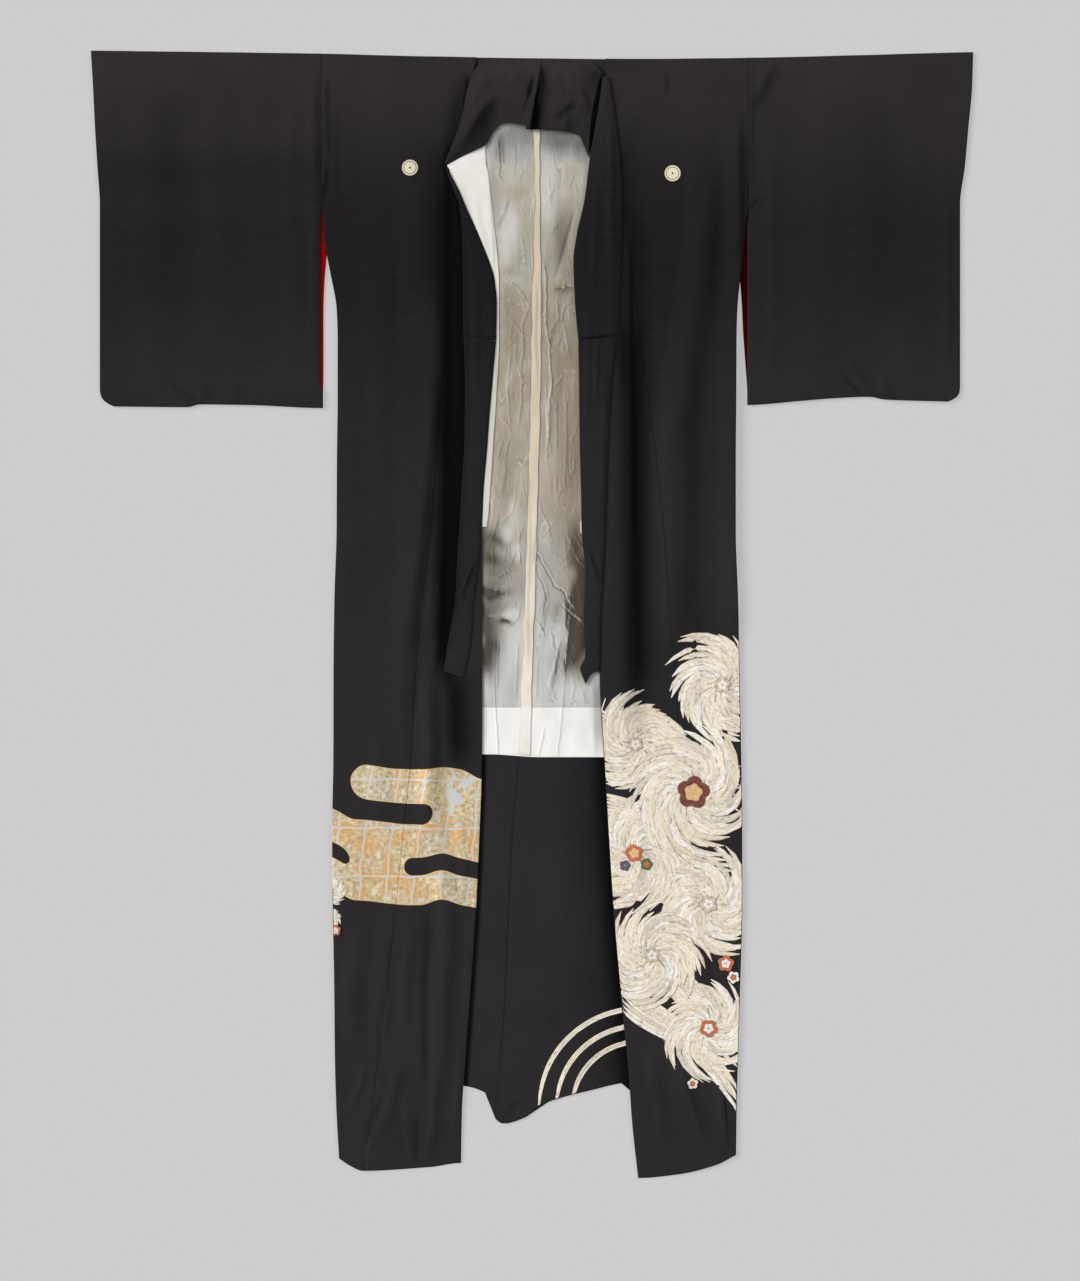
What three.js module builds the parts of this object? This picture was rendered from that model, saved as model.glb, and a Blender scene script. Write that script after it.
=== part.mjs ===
// A formal kimono, laid out flat on its back with the fronts up.
// Millimetres. X runs across the sleeves, +Y towards the shoulders, +Z up from what it lies on.
// "right" and "left" are the wearer's: the right side is at negative X.
import * as THREE from "three";

// Walls and gaps
const clothWall = 1.5;
const liningWall = 1.0;
const collarWall = 2.4; // the collar is doubled over its core
const seamGap = 0.3;

// Heights of the layers where they lie flat, bottom of each
const liningFloor = clothWall + seamGap;
const tapeFloor = liningFloor + liningWall + seamGap;
const frontFloor = 3.2;

// Lengths down the garment
const shoulderY = 809;
const foldDepth = 3; // cloth taken up by the fold at a shoulder or by a joined edge
const armholeEndY = 594;
const sideOpeningEndY = 500; // the side stays open from the armhole down to here
const bandTopY = -135; // the upper lining is doubled from here down
const hemLiningTopY = -207;
const hemStartY = -520; // below this the hem's curve shapes the panels
const yokeY = 650; // above this the shoulder line shapes them
const overlapTopRight = 551;
const overlapTopLeft = 594;
const liningTopY = 735;

// A row for each station down the body: the side edge, the overlap's seam and its free edge on
// both sides, and the centre back seam. Above the overlap's point its lines are the neckline.
const stations = [
  { y: 809, rSide: -304.7, rSeam: -81, rEdge: -81, mid: 7, lEdge: 106, lSeam: 106, lSide: 314.9 },
  { y: 747, rSide: -304.7, rSeam: -90, rEdge: -90, mid: 7, lEdge: 112, lSeam: 112, lSide: 314.9 },
  { y: 660, rSide: -304.7, rSeam: -102, rEdge: -102, mid: 6, lEdge: 123, lSeam: 123, lSide: 314.9 },
  { y: 594, rSide: -304.7, rSeam: -106, rEdge: -105, mid: 4.5, lEdge: 128, lSeam: 133.5, lSide: 314.9 },
  { y: 551, rSide: -299, rSeam: -108, rEdge: -104, mid: 3, lEdge: 126, lSeam: 139.5, lSide: 309 },
  { y: 500, rSide: -289, rSeam: -113, rEdge: -100, mid: 1.5, lEdge: 123.5, lSeam: 145, lSide: 305 },
  { y: 442, rSide: -283, rSeam: -119, rEdge: -96, mid: 0, lEdge: 119, lSeam: 154, lSide: 302 },
  { y: 398, rSide: -283, rSeam: -123, rEdge: -93, mid: -1.5, lEdge: 116, lSeam: 158, lSide: 300.5 },
  { y: 311, rSide: -283, rSeam: -132, rEdge: -87, mid: -3.5, lEdge: 110, lSeam: 170, lSide: 299 },
  { y: 224, rSide: -283, rSeam: -138, rEdge: -81, mid: -6, lEdge: 104.5, lSeam: 181, lSide: 297.5 },
  { y: 123, rSide: -283, rSeam: -146, rEdge: -72.5, mid: -8.5, lEdge: 99.5, lSeam: 191.5, lSide: 297.5 },
  { y: 21, rSide: -284, rSeam: -158, rEdge: -72, mid: -11.5, lEdge: 98, lSeam: 199, lSide: 300.5 },
  { y: -83, rSide: -287, rSeam: -168, rEdge: -72, mid: -15, lEdge: 98, lSeam: 207, lSide: 301 },
  { y: -207, rSide: -289, rSeam: -175, rEdge: -72.5, mid: -19.5, lEdge: 104.5, lSeam: 217.5, lSide: 303.5 },
  { y: -313, rSide: -290, rSeam: -186, rEdge: -76, mid: -28.5, lEdge: 110.5, lSeam: 230, lSide: 305 },
  { y: -422, rSide: -289, rSeam: -197, rEdge: -81, mid: -34, lEdge: 117.5, lSeam: 248, lSide: 305 },
  { y: -538, rSide: -287, rSeam: -210, rEdge: -88.5, mid: -38.5, lEdge: 127.5, lSeam: 261, lSide: 302 },
  { y: -646, rSide: -286, rSeam: -223.5, rEdge: -96.5, mid: -45, lEdge: 139.5, lSeam: 273.5, lSide: 299 },
  { y: -719, rSide: -284, rSeam: -233.5, rEdge: -101.5, mid: -51, lEdge: 145, lSeam: 281.5, lSide: 297 },
  { y: -796, rSide: -280, rSeam: -241, rEdge: -103, mid: -54, lEdge: 154, lSeam: 287, lSide: 296 },
];
const hemY = stations[stations.length - 1].y;

// The shoulder line and the hems, across the garment
const shoulderLine = [
  { x: -640, y: 818 }, { x: -305, y: 813.5 }, { x: -148, y: 809.5 }, { x: 12, y: 807.5 },
  { x: 157, y: 806 }, { x: 309, y: 807.5 }, { x: 640, y: 816 },
];
const frontHem = [
  { x: -280, y: -789 }, { x: -265, y: -799 }, { x: -245, y: -807 }, { x: -148, y: -802 },
  { x: -103, y: -796 }, { x: 154, y: -818 }, { x: 215, y: -812 }, { x: 266, y: -799 },
  { x: 296, y: -784 },
];
const backHem = [
  { x: -280, y: -786 }, { x: -200, y: -738 }, { x: -103, y: -684 }, { x: -66, y: -695 },
  { x: -52, y: -733 }, { x: -42, y: -739 }, { x: -6, y: -728 }, { x: 12, y: -712 },
  { x: 99, y: -687 }, { x: 128, y: -680 }, { x: 145, y: -694 }, { x: 220, y: -735 },
  { x: 296, y: -781 },
];

// The largest folds of the fronts: a crest from (x0, y0) down to (x1, y1), how far it falls away
// on its west and east sides, and how high it stands
const frontFolds = [
  { x0: -143, y0: 640, x1: -150, y1: -60, west: 62, east: 24, rise: 9 },
  { x0: -176, y0: -40, x1: -162, y1: -300, west: 26, east: 24, rise: 5 },
  { x0: -118, y0: -330, x1: -128, y1: -690, west: 26, east: 20, rise: 4 },
  { x0: 178, y0: 590, x1: 203, y1: -60, west: 28, east: 46, rise: 8 },
  { x0: 282, y0: 760, x1: 262, y1: 60, west: 24, east: 30, rise: 5 },
];
const foldEnd = 70; // length over which a fold dies out at each end

// Where a front hangs past the shorter back it comes down to what the kimono lies on: how far above
// the back's hem that starts, and the overhang at which it starts and is complete
const drop = { above: 6, least: 30, full: 90 };

// Sleeve outlines. The outer edge by height, the hem by distance from the body seam.
const sleeveStations = [
  { y: 809, right: -640, left: 640 }, { y: 806, right: -640, left: 640 },
  { y: 761, right: -637, left: 638.5 }, { y: 703, right: -634, left: 633 },
  { y: 650, right: -630.5, left: 628 }, { y: 594, right: -627, left: 621 },
  { y: 551, right: -627, left: 621 }, { y: 500, right: -627, left: 621 },
  { y: 442, right: -627, left: 621 }, { y: 398, right: -627, left: 621 },
  { y: 360, right: -627, left: 621 }, { y: 326, right: -627, left: 621 },
  { y: 314, right: -624.5, left: 619.5 }, { y: 306, right: -617, left: 613 },
  { y: 301, right: -607, left: 604 },
];
const sleeveHem = [
  { x: -607, y: 302 }, { x: -500, y: 301 }, { x: -482, y: 305 }, { x: -409, y: 304 },
  { x: -305, y: 299.7 }, { x: 314, y: 304 }, { x: 390, y: 310 }, { x: 440, y: 314 },
  { x: 490, y: 316 }, { x: 512, y: 312 }, { x: 604, y: 309 },
];
const sleeveSeamRight = -304.7;
const sleeveSeamLeft = 314.9;
const sleeveLowY = sleeveStations[sleeveStations.length - 1].y;
const sleeveHemFrom = 360; // below this the sleeve's hem shapes it
const sleeveWave = { lift: 1, height: 1.2, length: 61 }; // the low waves of a sleeve's front
const sleeveLiningDepth = 24;
// How far the back layer of a sleeve shows past its front at the open inner edge
const sleeveShow = [
  { y: 594, right: 0, left: 0 }, { y: 551, right: 4.5, left: 4.5 },
  { y: 500, right: 8.5, left: 8.5 }, { y: 442, right: 8, left: 10.5 },
  { y: 398, right: 6, left: 8 }, { y: 360, right: 3.5, left: 6 },
  { y: 326, right: 1, left: 3 }, { y: 314, right: 0, left: 0 },
];

// Collar strips: a row for each section, with the outer and inner ends of the section, how high
// the outer edge stands, and the height of the underside at the inner edge
const overCollarRightRows = [
  { ox: -126, oy: 650, ix: -123.5, iy: 648.5, lift: 7.6, sit: 7.4 },
  { ox: -120, oy: 631, ix: -114, iy: 631, lift: 8, sit: 7.2 },
  { ox: -114, oy: 616, ix: -106, iy: 616, lift: 8.4, sit: 7 },
  { ox: -105, oy: 590, ix: -95, iy: 590, lift: 9, sit: 6.6 },
  { ox: -101, oy: 543, ix: -74, iy: 543, lift: 10, sit: 5.4 },
  { ox: -100, oy: 485, ix: -54, iy: 485, lift: 10, sit: 4.8 },
  { ox: -100, oy: 449, ix: -51, iy: 449, lift: 10, sit: 4.8 },
  { ox: -99, oy: 404, ix: -52, iy: 397, lift: 10, sit: 4.8 },
];
const collarRightRows = [
  { ox: -99, oy: 403.7, ix: -52, iy: 396.7, lift: 10, sit: 4.8 },
  { ox: -97, oy: 340, ix: -57, iy: 340, lift: 10, sit: 4.8 },
  { ox: -97, oy: 282, ix: -62, iy: 282, lift: 10, sit: 4.8 },
  { ox: -98, oy: 239, ix: -65, iy: 239, lift: 10, sit: 4.8 },
  { ox: -102, oy: 181, ix: -70, iy: 181, lift: 10.5, sit: 5 },
  { ox: -104, oy: 137, ix: -72, iy: 137, lift: 11, sit: 5.2 },
  { ox: -108, oy: 82, ix: -75, iy: 82, lift: 11, sit: 5.2 },
  { ox: -111, oy: 21, ix: -83, iy: 21, lift: 11, sit: 5.2 },
  { ox: -121, oy: -37, ix: -87, iy: -37, lift: 9, sit: 5.2 },
  { ox: -128, oy: -82, ix: -98, iy: -93, lift: 6, sit: 5.2 },
];
const overCollarLeftRows = [
  { ox: 112, oy: 779, ix: 103.5, iy: 779, lift: 6, sit: 6 },
  { ox: 118, oy: 747, ix: 99.5, iy: 747, lift: 6, sit: 8 },
  { ox: 124, oy: 703, ix: 92.5, iy: 703, lift: 6, sit: 9 },
  { ox: 129, oy: 660, ix: 86.5, iy: 660, lift: 7, sit: 8 },
  { ox: 131, oy: 602, ix: 76, iy: 602, lift: 8, sit: 6 },
  { ox: 131, oy: 552, ix: 65, iy: 552, lift: 8, sit: 5 },
  { ox: 130, oy: 512, ix: 60, iy: 512, lift: 8, sit: 4.6 },
  { ox: 128, oy: 456, ix: 62, iy: 456, lift: 8, sit: 4.6 },
  { ox: 125, oy: 404, ix: 67, iy: 397, lift: 8, sit: 4.6 },
];
const collarLeftRows = [
  { ox: 125, oy: 403.7, ix: 67, iy: 396.7, lift: 8, sit: 4.6 },
  { ox: 117, oy: 340, ix: 68, iy: 340, lift: 8.5, sit: 4.6 },
  { ox: 112, oy: 253, ix: 69, iy: 253, lift: 8.5, sit: 4.6 },
  { ox: 109, oy: 181, ix: 71, iy: 181, lift: 8.5, sit: 4.8 },
  { ox: 107, oy: 121, ix: 72, iy: 121, lift: 8.5, sit: 5 },
  { ox: 104, oy: 60, ix: 77, iy: 60, lift: 8, sit: 5 },
  { ox: 100, oy: -11, ix: 75, iy: -11, lift: 7, sit: 5 },
  { ox: 99, oy: -59, ix: 77, iy: -59, lift: 6, sit: 5 },
  { ox: 98.5, oy: -74, ix: 70, iy: -78, lift: 5.4, sit: 5 },
  { ox: 98, oy: -83, ix: 78, iy: -102, lift: 5.2, sit: 5 },
];
const crown = 1.4; // the collar's rise between its two edges

// The part of the over-collar behind the neck, fallen forward in pleats: a row for each pleat
// line, with its sewn end, its free end, the underside at the sewn end, and the pleat's height
const neckPleats = [
  { sx: -127, sy: 655, fx: -123.5, fy: 651.5, base: 6.4, lift: 1 },
  { sx: -118, sy: 689, fx: -100, fy: 665, base: 6.2, lift: 3 },
  { sx: -107, sy: 725, fx: -81, fy: 674, base: 6, lift: 5 },
  { sx: -99, sy: 758, fx: -67, fy: 681, base: 5.6, lift: 8 },
  { sx: -87, sy: 790, fx: -54, fy: 702, base: 5.2, lift: 9 },
  { sx: -64, sy: 803, fx: -39, fy: 713, base: 5.2, lift: 7 },
  { sx: -29, sy: 807, fx: -15, fy: 710, base: 2.2, lift: 9 },
  { sx: 1, sy: 807, fx: -3, fy: 703, base: 1.8, lift: 13 },
  { sx: 13, sy: 807, fx: 13, fy: 703, base: 1.8, lift: 5 },
  { sx: 41, sy: 806, fx: 44, fy: 701, base: 1.8, lift: 9 },
  { sx: 70, sy: 805, fx: 68, fy: 694, base: 1.8, lift: 11 },
  { sx: 90, sy: 800, fx: 77, fy: 680, base: 5.2, lift: 9 },
  { sx: 101, sy: 787, fx: 84, fy: 662, base: 5.2, lift: 8 },
];
const pleatSag = 0.25; // share of a pleat's height lost at its free end
const pleatSteps = [0, 0.12, 0.35, 0.7, 1];
const neckWall = 2;
const neckFloor = 5.2; // the pleats lie over the turned edge of the fronts

// White lining of the collar, where it turns open beside the neck and below. Its outer edge climbs
// from the front's underside over the top of the opening, between two heights of the garment.
const liningClimb = { low: 3.2, high: 5.1, fromY: 510, toY: 570 };
const collarLiningRightRows = [
  { y: 671, west: -100, east: -67 }, { y: 650, west: -112, east: -65.5 },
  { y: 636, west: -109, east: -63 }, { y: 588, west: -90, east: -60 },
  { y: 543, west: -72, east: -54 }, { y: 501, west: -64, east: -49 },
  { y: 475, west: -60, east: -48 }, { y: 398, west: -58, east: -47 },
  { y: 311, west: -66, east: -50 }, { y: 253, west: -68, east: -54 },
  { y: 195, west: -69.5, east: -58 }, { y: 159, west: -71, east: -61 },
  { y: 127, west: -71.5, east: -65 },
];
const collarLiningLeftRows = [
  { y: 135, west: 69.5, east: 80 }, { y: 118, west: 70, east: 80 },
];
const tapeRows = [
  { y: 740, mid: 11, wide: 11 }, { y: 689, mid: 10.5, wide: 11 }, { y: 456, mid: 9.5, wide: 18 },
  { y: 21, mid: -2.5, wide: 18.5 }, { y: -204, mid: -9.5, wide: 17.5 },
];

const colours = {
  black: { color: 0x2c2929, roughness: 0.86 },
  grey: { color: 0xaaa69c, roughness: 0.6 },
  white: { color: 0xe6e3dc, roughness: 0.55 },
  cream: { color: 0xead9bd, roughness: 0.6 },
  red: { color: 0xb40f12, roughness: 0.55 },
};

const kimono = new THREE.Group();

function clamp(value, low, high) {
  return Math.min(Math.max(value, low), high);
}

function smooth(value) {
  const t = clamp(value, 0, 1);
  return t * t * (3 - 2 * t);
}

// A value of one named column of a table, between its rows; key is the column that is known
function read(table, key, at, column) {
  const falling = table[0][key] > table[1][key];
  const reached = (row) => (falling ? row[key] <= at : row[key] >= at);
  const found = table.findIndex(reached);
  if (found === 0) return table[0][column];
  if (found < 0) return table[table.length - 1][column];
  const before = table[found - 1];
  const after = table[found];
  const share = (at - before[key]) / (after[key] - before[key]);
  return before[column] + share * (after[column] - before[column]);
}

function line(y, name) {
  return read(stations, "y", y, name);
}

// Height that the folds add to a front at a point
function foldRise(x, y) {
  let rise = 0;
  for (const fold of frontFolds) {
    const along = (fold.y0 - y) / (fold.y0 - fold.y1);
    const crest = fold.x0 + clamp(along, 0, 1) * (fold.x1 - fold.x0);
    const reach = x < crest ? fold.west : fold.east;
    const across = Math.max(0, 1 - Math.abs(x - crest) / reach);
    const ends = Math.min(fold.y0 - y, y - fold.y1) / foldEnd;
    rise += fold.rise * smooth(across) * smooth(ends);
  }
  return rise;
}

// Underside of a front: it lies on the back, and comes down past the back's shorter hem
function frontUnder(x, y) {
  const back = read(backHem, "x", x, "y");
  const front = read(frontHem, "x", x, "y");
  const past = clamp((back - drop.above - y) / (back - drop.above - front), 0, 1);
  const overhang = clamp((back - front - drop.least) / (drop.full - drop.least), 0, 1);
  return frontFloor - frontFloor * past * overhang + foldRise(x, y);
}

// Stations are level rows; the shoulder line and the hems curve across the garment
function shapedY(x, y, hem) {
  if (y > yokeY) {
    const top = read(shoulderLine, "x", x, "y") - shoulderY;
    return y + top * (y - yokeY) / (shoulderY - yokeY);
  }
  if (y < hemStartY) {
    const end = read(hem, "x", x, "y");
    return hemStartY + (y - hemStartY) * (end - hemStartY) / (hemY - hemStartY);
  }
  return y;
}

// Closed mesh of a piece in up to three layers over a grid of rows (down) and columns (east).
// layersAt(i, j) lists which of the layers 0, 1 and 2 fill a cell; place(i, j, level) is a corner.
function layered(name, look, rowCount, columnCount, layersAt, place) {
  const positions = [];
  const known = new Map();
  const index = [];
  const corner = (i, j, level) => {
    const key = `${i},${j},${level}`;
    if (!known.has(key)) {
      known.set(key, positions.length / 3);
      positions.push(...place(i, j, level));
    }
    return known.get(key);
  };
  const inside = (i, j) => i >= 0 && j >= 0 && i < rowCount - 1 && j < columnCount - 1;
  const filled = (i, j, layer) => inside(i, j) && layersAt(i, j).includes(layer);
  const quad = (a, b, c, d) => index.push(a, b, c, a, c, d);
  for (let i = 0; i < rowCount - 1; i += 1) {
    for (let j = 0; j < columnCount - 1; j += 1) {
      for (const layer of layersAt(i, j)) {
        const at = (di, dj, up) => corner(i + di, j + dj, layer + up);
        if (!filled(i, j, layer + 1)) quad(at(0, 0, 1), at(1, 0, 1), at(1, 1, 1), at(0, 1, 1));
        if (!filled(i, j, layer - 1)) quad(at(0, 0, 0), at(0, 1, 0), at(1, 1, 0), at(1, 0, 0));
        if (!filled(i, j - 1, layer)) quad(at(0, 0, 0), at(1, 0, 0), at(1, 0, 1), at(0, 0, 1));
        if (!filled(i, j + 1, layer)) quad(at(0, 1, 0), at(0, 1, 1), at(1, 1, 1), at(1, 1, 0));
        if (!filled(i - 1, j, layer)) quad(at(0, 0, 0), at(0, 0, 1), at(0, 1, 1), at(0, 1, 0));
        if (!filled(i + 1, j, layer)) quad(at(1, 0, 0), at(1, 1, 0), at(1, 1, 1), at(1, 0, 1));
      }
    }
  }
  const geometry = new THREE.BufferGeometry();
  geometry.setAttribute("position", new THREE.Float32BufferAttribute(positions, 3));
  geometry.setIndex(index);
  geometry.computeVertexNormals();
  const material = new THREE.MeshStandardMaterial({ ...look, metalness: 0, side: THREE.FrontSide });
  const mesh = new THREE.Mesh(geometry, material);
  mesh.name = name;
  kimono.add(mesh);
}

const single = () => [0]; // a piece of one layer

// Rows between two heights: the stations, with one more between two that lie far apart
function rowsBetween(top, bottom, extra = []) {
  const inner = stations.map((row) => row.y).filter((y) => y < top - 5 && y > bottom + 5);
  const all = [top, bottom, ...inner, ...extra].sort((a, b) => b - a);
  const longest = 60;
  const rows = [];
  all.forEach((y, i) => {
    if (i > 0 && all[i - 1] - y > longest) rows.push((all[i - 1] + y) / 2);
    rows.push(y);
  });
  return rows;
}

// A body panel: front and back in one over the shoulder, joined down the side
function bodyPanel(name, side, sign) {
  const rows = rowsBetween(shoulderY, hemY, [shoulderY - foldDepth]);
  const fractions = [0.36, 0.62, 0.84];
  const backFractions = [0.5];
  const seamSide = sign * seamGap / 2;
  const columnsAt = (y) => {
    const outer = line(y, `${side}Side`) - seamSide;
    const seam = line(y, `${side}Seam`) + seamSide;
    const middle = line(y, "mid") + seamSide;
    const joined = outer - sign * foldDepth;
    const front = fractions.map((f) => joined + f * (seam - joined));
    const back = backFractions.map((f) => seam + f * (middle - seam));
    const across = [outer, joined, ...front, seam, ...back, middle];
    return sign < 0 ? across : across.reverse();
  };
  const columnCount = columnsAt(0).length;
  const layersAt = (i, j) => {
    const fromSide = sign < 0 ? j : columnCount - 2 - j;
    const hasFront = fromSide <= fractions.length + 1;
    if (!hasFront) return [0];
    const fold = i === 0;
    const sewn = fromSide === 0 && rows[i] <= sideOpeningEndY;
    return fold || sewn ? [0, 1, 2] : [0, 2];
  };
  const place = (i, j, level) => {
    const x = columnsAt(rows[i])[j];
    const y = shapedY(x, rows[i], level < 2 ? backHem : frontHem);
    const under = frontUnder(x, y);
    return [x, y, [0, clothWall, under, under + clothWall][level]];
  };
  layered(name, colours.black, rows.length, columnCount, layersAt, place);
}

// An overlap: the half-width panel between its seam and the open front edge
function overlap(name, side, sign, top) {
  const rows = rowsBetween(top, hemY);
  const place = (i, j, level) => {
    const seam = line(rows[i], `${side}Seam`) - sign * seamGap / 2;
    const edge = line(rows[i], `${side}Edge`);
    const share = sign < 0 ? j / 3 : 1 - j / 3;
    const x = seam + share * (edge - seam);
    const y = shapedY(x, rows[i], frontHem);
    return [x, y, frontUnder(x, y) + level * clothWall];
  };
  layered(name, colours.black, rows.length, 4, single, place);
}

// A sleeve: one folded panel, joined at its hem and down its outer edge below the wrist opening
function sleeve(name, side, sign) {
  const rows = sleeveStations.map((row) => row.y);
  const fractions = [0.25, 0.5, 0.75];
  const seam = (sign < 0 ? sleeveSeamRight : sleeveSeamLeft) + sign * seamGap / 2;
  const columnsAt = (i) => {
    const outer = sleeveStations[i][side];
    const joined = outer - sign * foldDepth;
    const across = [outer, joined, ...fractions.map((f) => joined + f * (seam - joined)), seam];
    return sign < 0 ? across : across.reverse();
  };
  const columnCount = fractions.length + 3;
  const layersAt = (i, j) => {
    const fromOuter = sign < 0 ? j : columnCount - 2 - j;
    const folded = i === 0 || i === rows.length - 2;
    const sewn = fromOuter === 0 && rows[i] <= armholeEndY;
    return folded || sewn ? [0, 1, 2] : [0, 2];
  };
  const place = (i, j, level) => {
    const atSeam = j === (sign < 0 ? columnCount - 1 : 0);
    const show = atSeam && level < 2 ? read(sleeveShow, "y", rows[i], side) : 0;
    const x = columnsAt(i)[j] - sign * show;
    let y = shapedY(x, rows[i], frontHem);
    const nearHem = clamp((sleeveHemFrom - rows[i]) / (sleeveHemFrom - sleeveLowY), 0, 1);
    y += nearHem * (read(sleeveHem, "x", x, "y") - sleeveLowY);
    const waves = smooth((rows[i] - sleeveLowY) / sleeveWave.length);
    const wave = sleeveWave.height * Math.sin(x / sleeveWave.length) * waves;
    const under = frontFloor + sleeveWave.lift + wave;
    return [x, y, [0, clothWall, under, under + clothWall][level]];
  };
  layered(name, colours.black, rows.length, columnCount, layersAt, place);
}

// The red lining where the back of a sleeve shows past its front
function sleeveLining(name, side, sign) {
  const rows = sleeveShow.map((row) => row.y - 2);
  const place = (i, j, level) => {
    const seam = (sign < 0 ? sleeveSeamRight : sleeveSeamLeft) + sign * seamGap / 2;
    const show = read(sleeveShow, "y", rows[i], side) - 0.4;
    const inward = sign < 0 ? 1 - j : j;
    const x = seam - sign * show + sign * inward * sleeveLiningDepth;
    return [x, rows[i], liningFloor + level * liningWall];
  };
  layered(name, colours.red, rows.length, 2, single, place);
}

// A lining beside the centre back seam, between two heights
function backLining(name, look, side, sign, top, bottom) {
  const rows = rowsBetween(top, bottom);
  const tuck = 14; // how far it runs on under a front
  const place = (i, j, level) => {
    const edge = line(rows[i], `${side}Edge`) + sign * tuck;
    const middle = line(rows[i], "mid") + sign * seamGap / 2;
    const share = sign < 0 ? j / 3 : 1 - j / 3;
    const x = edge + share * (middle - edge);
    return [x, shapedY(x, rows[i], backHem), liningFloor + level * liningWall];
  };
  layered(name, look, rows.length, 4, single, place);
}

// A strip of collar from its table of sections; it stands at its outer edge and lies at its inner
function collarStrip(name, rows, sign) {
  const shares = [0, 0.15, 0.4, 0.75, 1];
  const ease = [1, 0.55, 0.22, 0.05, 0];
  const place = (i, j, level) => {
    const k = sign < 0 ? j : shares.length - 1 - j;
    const row = rows[i];
    const x = row.ox + shares[k] * (row.ix - row.ox);
    const y = row.oy + shares[k] * (row.iy - row.oy);
    const under = row.sit + ease[k] * (row.lift - row.sit) + crown * Math.sin(Math.PI * shares[k]);
    return [x, y, under + level * collarWall];
  };
  layered(name, colours.black, rows.length, shares.length, single, place);
}

// The over-collar behind the neck: one column for each pleat line
function neckPart(name) {
  const place = (i, j, level) => {
    const row = neckPleats[j];
    const t = pleatSteps[i];
    const x = row.sx + t * (row.fx - row.sx);
    const y = row.sy + t * (row.fy - row.sy);
    const flat = row.base + smooth(t * 6) * Math.max(0, neckFloor - row.base);
    const lift = row.lift * smooth(t * 3) * (1 - pleatSag * t);
    return [x, y, flat + lift + level * neckWall];
  };
  layered(name, colours.black, pleatSteps.length, neckPleats.length, single, place);
}

// Collar lining: it lies over the front at its outer edge and on the back lining at its inner
function collarLining(name, rows, westFloor, eastFloor) {
  const place = (i, j, level) => {
    const x = j === 0 ? rows[i].west : rows[i].east;
    return [x, rows[i].y, (j === 0 ? westFloor(rows[i].y) : eastFloor(rows[i].y)) + level * liningWall];
  };
  layered(name, colours.white, rows.length, 2, single, place);
}

function climbedFloor(y) {
  const share = smooth((y - liningClimb.fromY) / (liningClimb.toY - liningClimb.fromY));
  return liningClimb.low + (liningClimb.high - liningClimb.low) * share;
}

function centreTape() {
  const place = (i, j, level) => {
    const row = tapeRows[i];
    return [row.mid + (j - 0.5) * row.wide, row.y, tapeFloor + level * liningWall];
  };
  layered("centre_tape", colours.cream, tapeRows.length, 2, single, place);
}

bodyPanel("body_right", "r", -1);
bodyPanel("body_left", "l", 1);
overlap("okumi_right", "r", -1, overlapTopRight);
overlap("okumi_left", "l", 1, overlapTopLeft);
sleeve("sleeve_right", "right", -1);
sleeve("sleeve_left", "left", 1);
sleeveLining("sleeve_lining_right", "right", -1);
sleeveLining("sleeve_lining_left", "left", 1);

for (const [side, sign, suffix] of [["r", -1, "right"], ["l", 1, "left"]]) {
  const half = seamGap / 2;
  backLining(`back_lining_${suffix}`, colours.grey, side, sign, liningTopY, bandTopY + half);
  backLining(`lining_band_${suffix}`, colours.white, side, sign, bandTopY - half, hemLiningTopY + half);
  backLining(`hem_lining_${suffix}`, colours.black, side, sign, hemLiningTopY - half, hemY);
}
centreTape();

neckPart("over_collar_back");
collarStrip("over_collar_right", overCollarRightRows, -1);
collarStrip("over_collar_left", overCollarLeftRows, 1);
collarStrip("collar_right", collarRightRows, -1);
collarStrip("collar_left", collarLeftRows, 1);
collarLining(
  "collar_lining_right",
  collarLiningRightRows,
  climbedFloor,
  () => tapeFloor,
);
collarLining("collar_lining_left", collarLiningLeftRows, () => tapeFloor, () => tapeFloor);

export default kimono;
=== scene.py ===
import bpy
import numpy as np
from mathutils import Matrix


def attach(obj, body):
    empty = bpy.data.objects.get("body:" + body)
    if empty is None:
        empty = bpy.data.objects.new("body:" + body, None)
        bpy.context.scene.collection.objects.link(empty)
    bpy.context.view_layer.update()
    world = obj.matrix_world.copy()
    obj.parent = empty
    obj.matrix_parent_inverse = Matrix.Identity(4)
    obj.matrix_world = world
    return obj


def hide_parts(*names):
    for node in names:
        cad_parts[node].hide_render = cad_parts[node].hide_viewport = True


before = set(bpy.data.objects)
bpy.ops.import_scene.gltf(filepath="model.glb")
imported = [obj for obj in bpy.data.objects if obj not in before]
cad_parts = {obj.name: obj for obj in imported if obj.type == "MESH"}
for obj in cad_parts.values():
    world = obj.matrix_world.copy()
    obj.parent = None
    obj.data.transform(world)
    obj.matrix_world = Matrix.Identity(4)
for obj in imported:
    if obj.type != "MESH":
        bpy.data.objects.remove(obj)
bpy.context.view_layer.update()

bpy.ops.object.select_all(action="DESELECT")
mm = 0.001
print("frame loaded:", len(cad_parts), "pieces")

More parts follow.
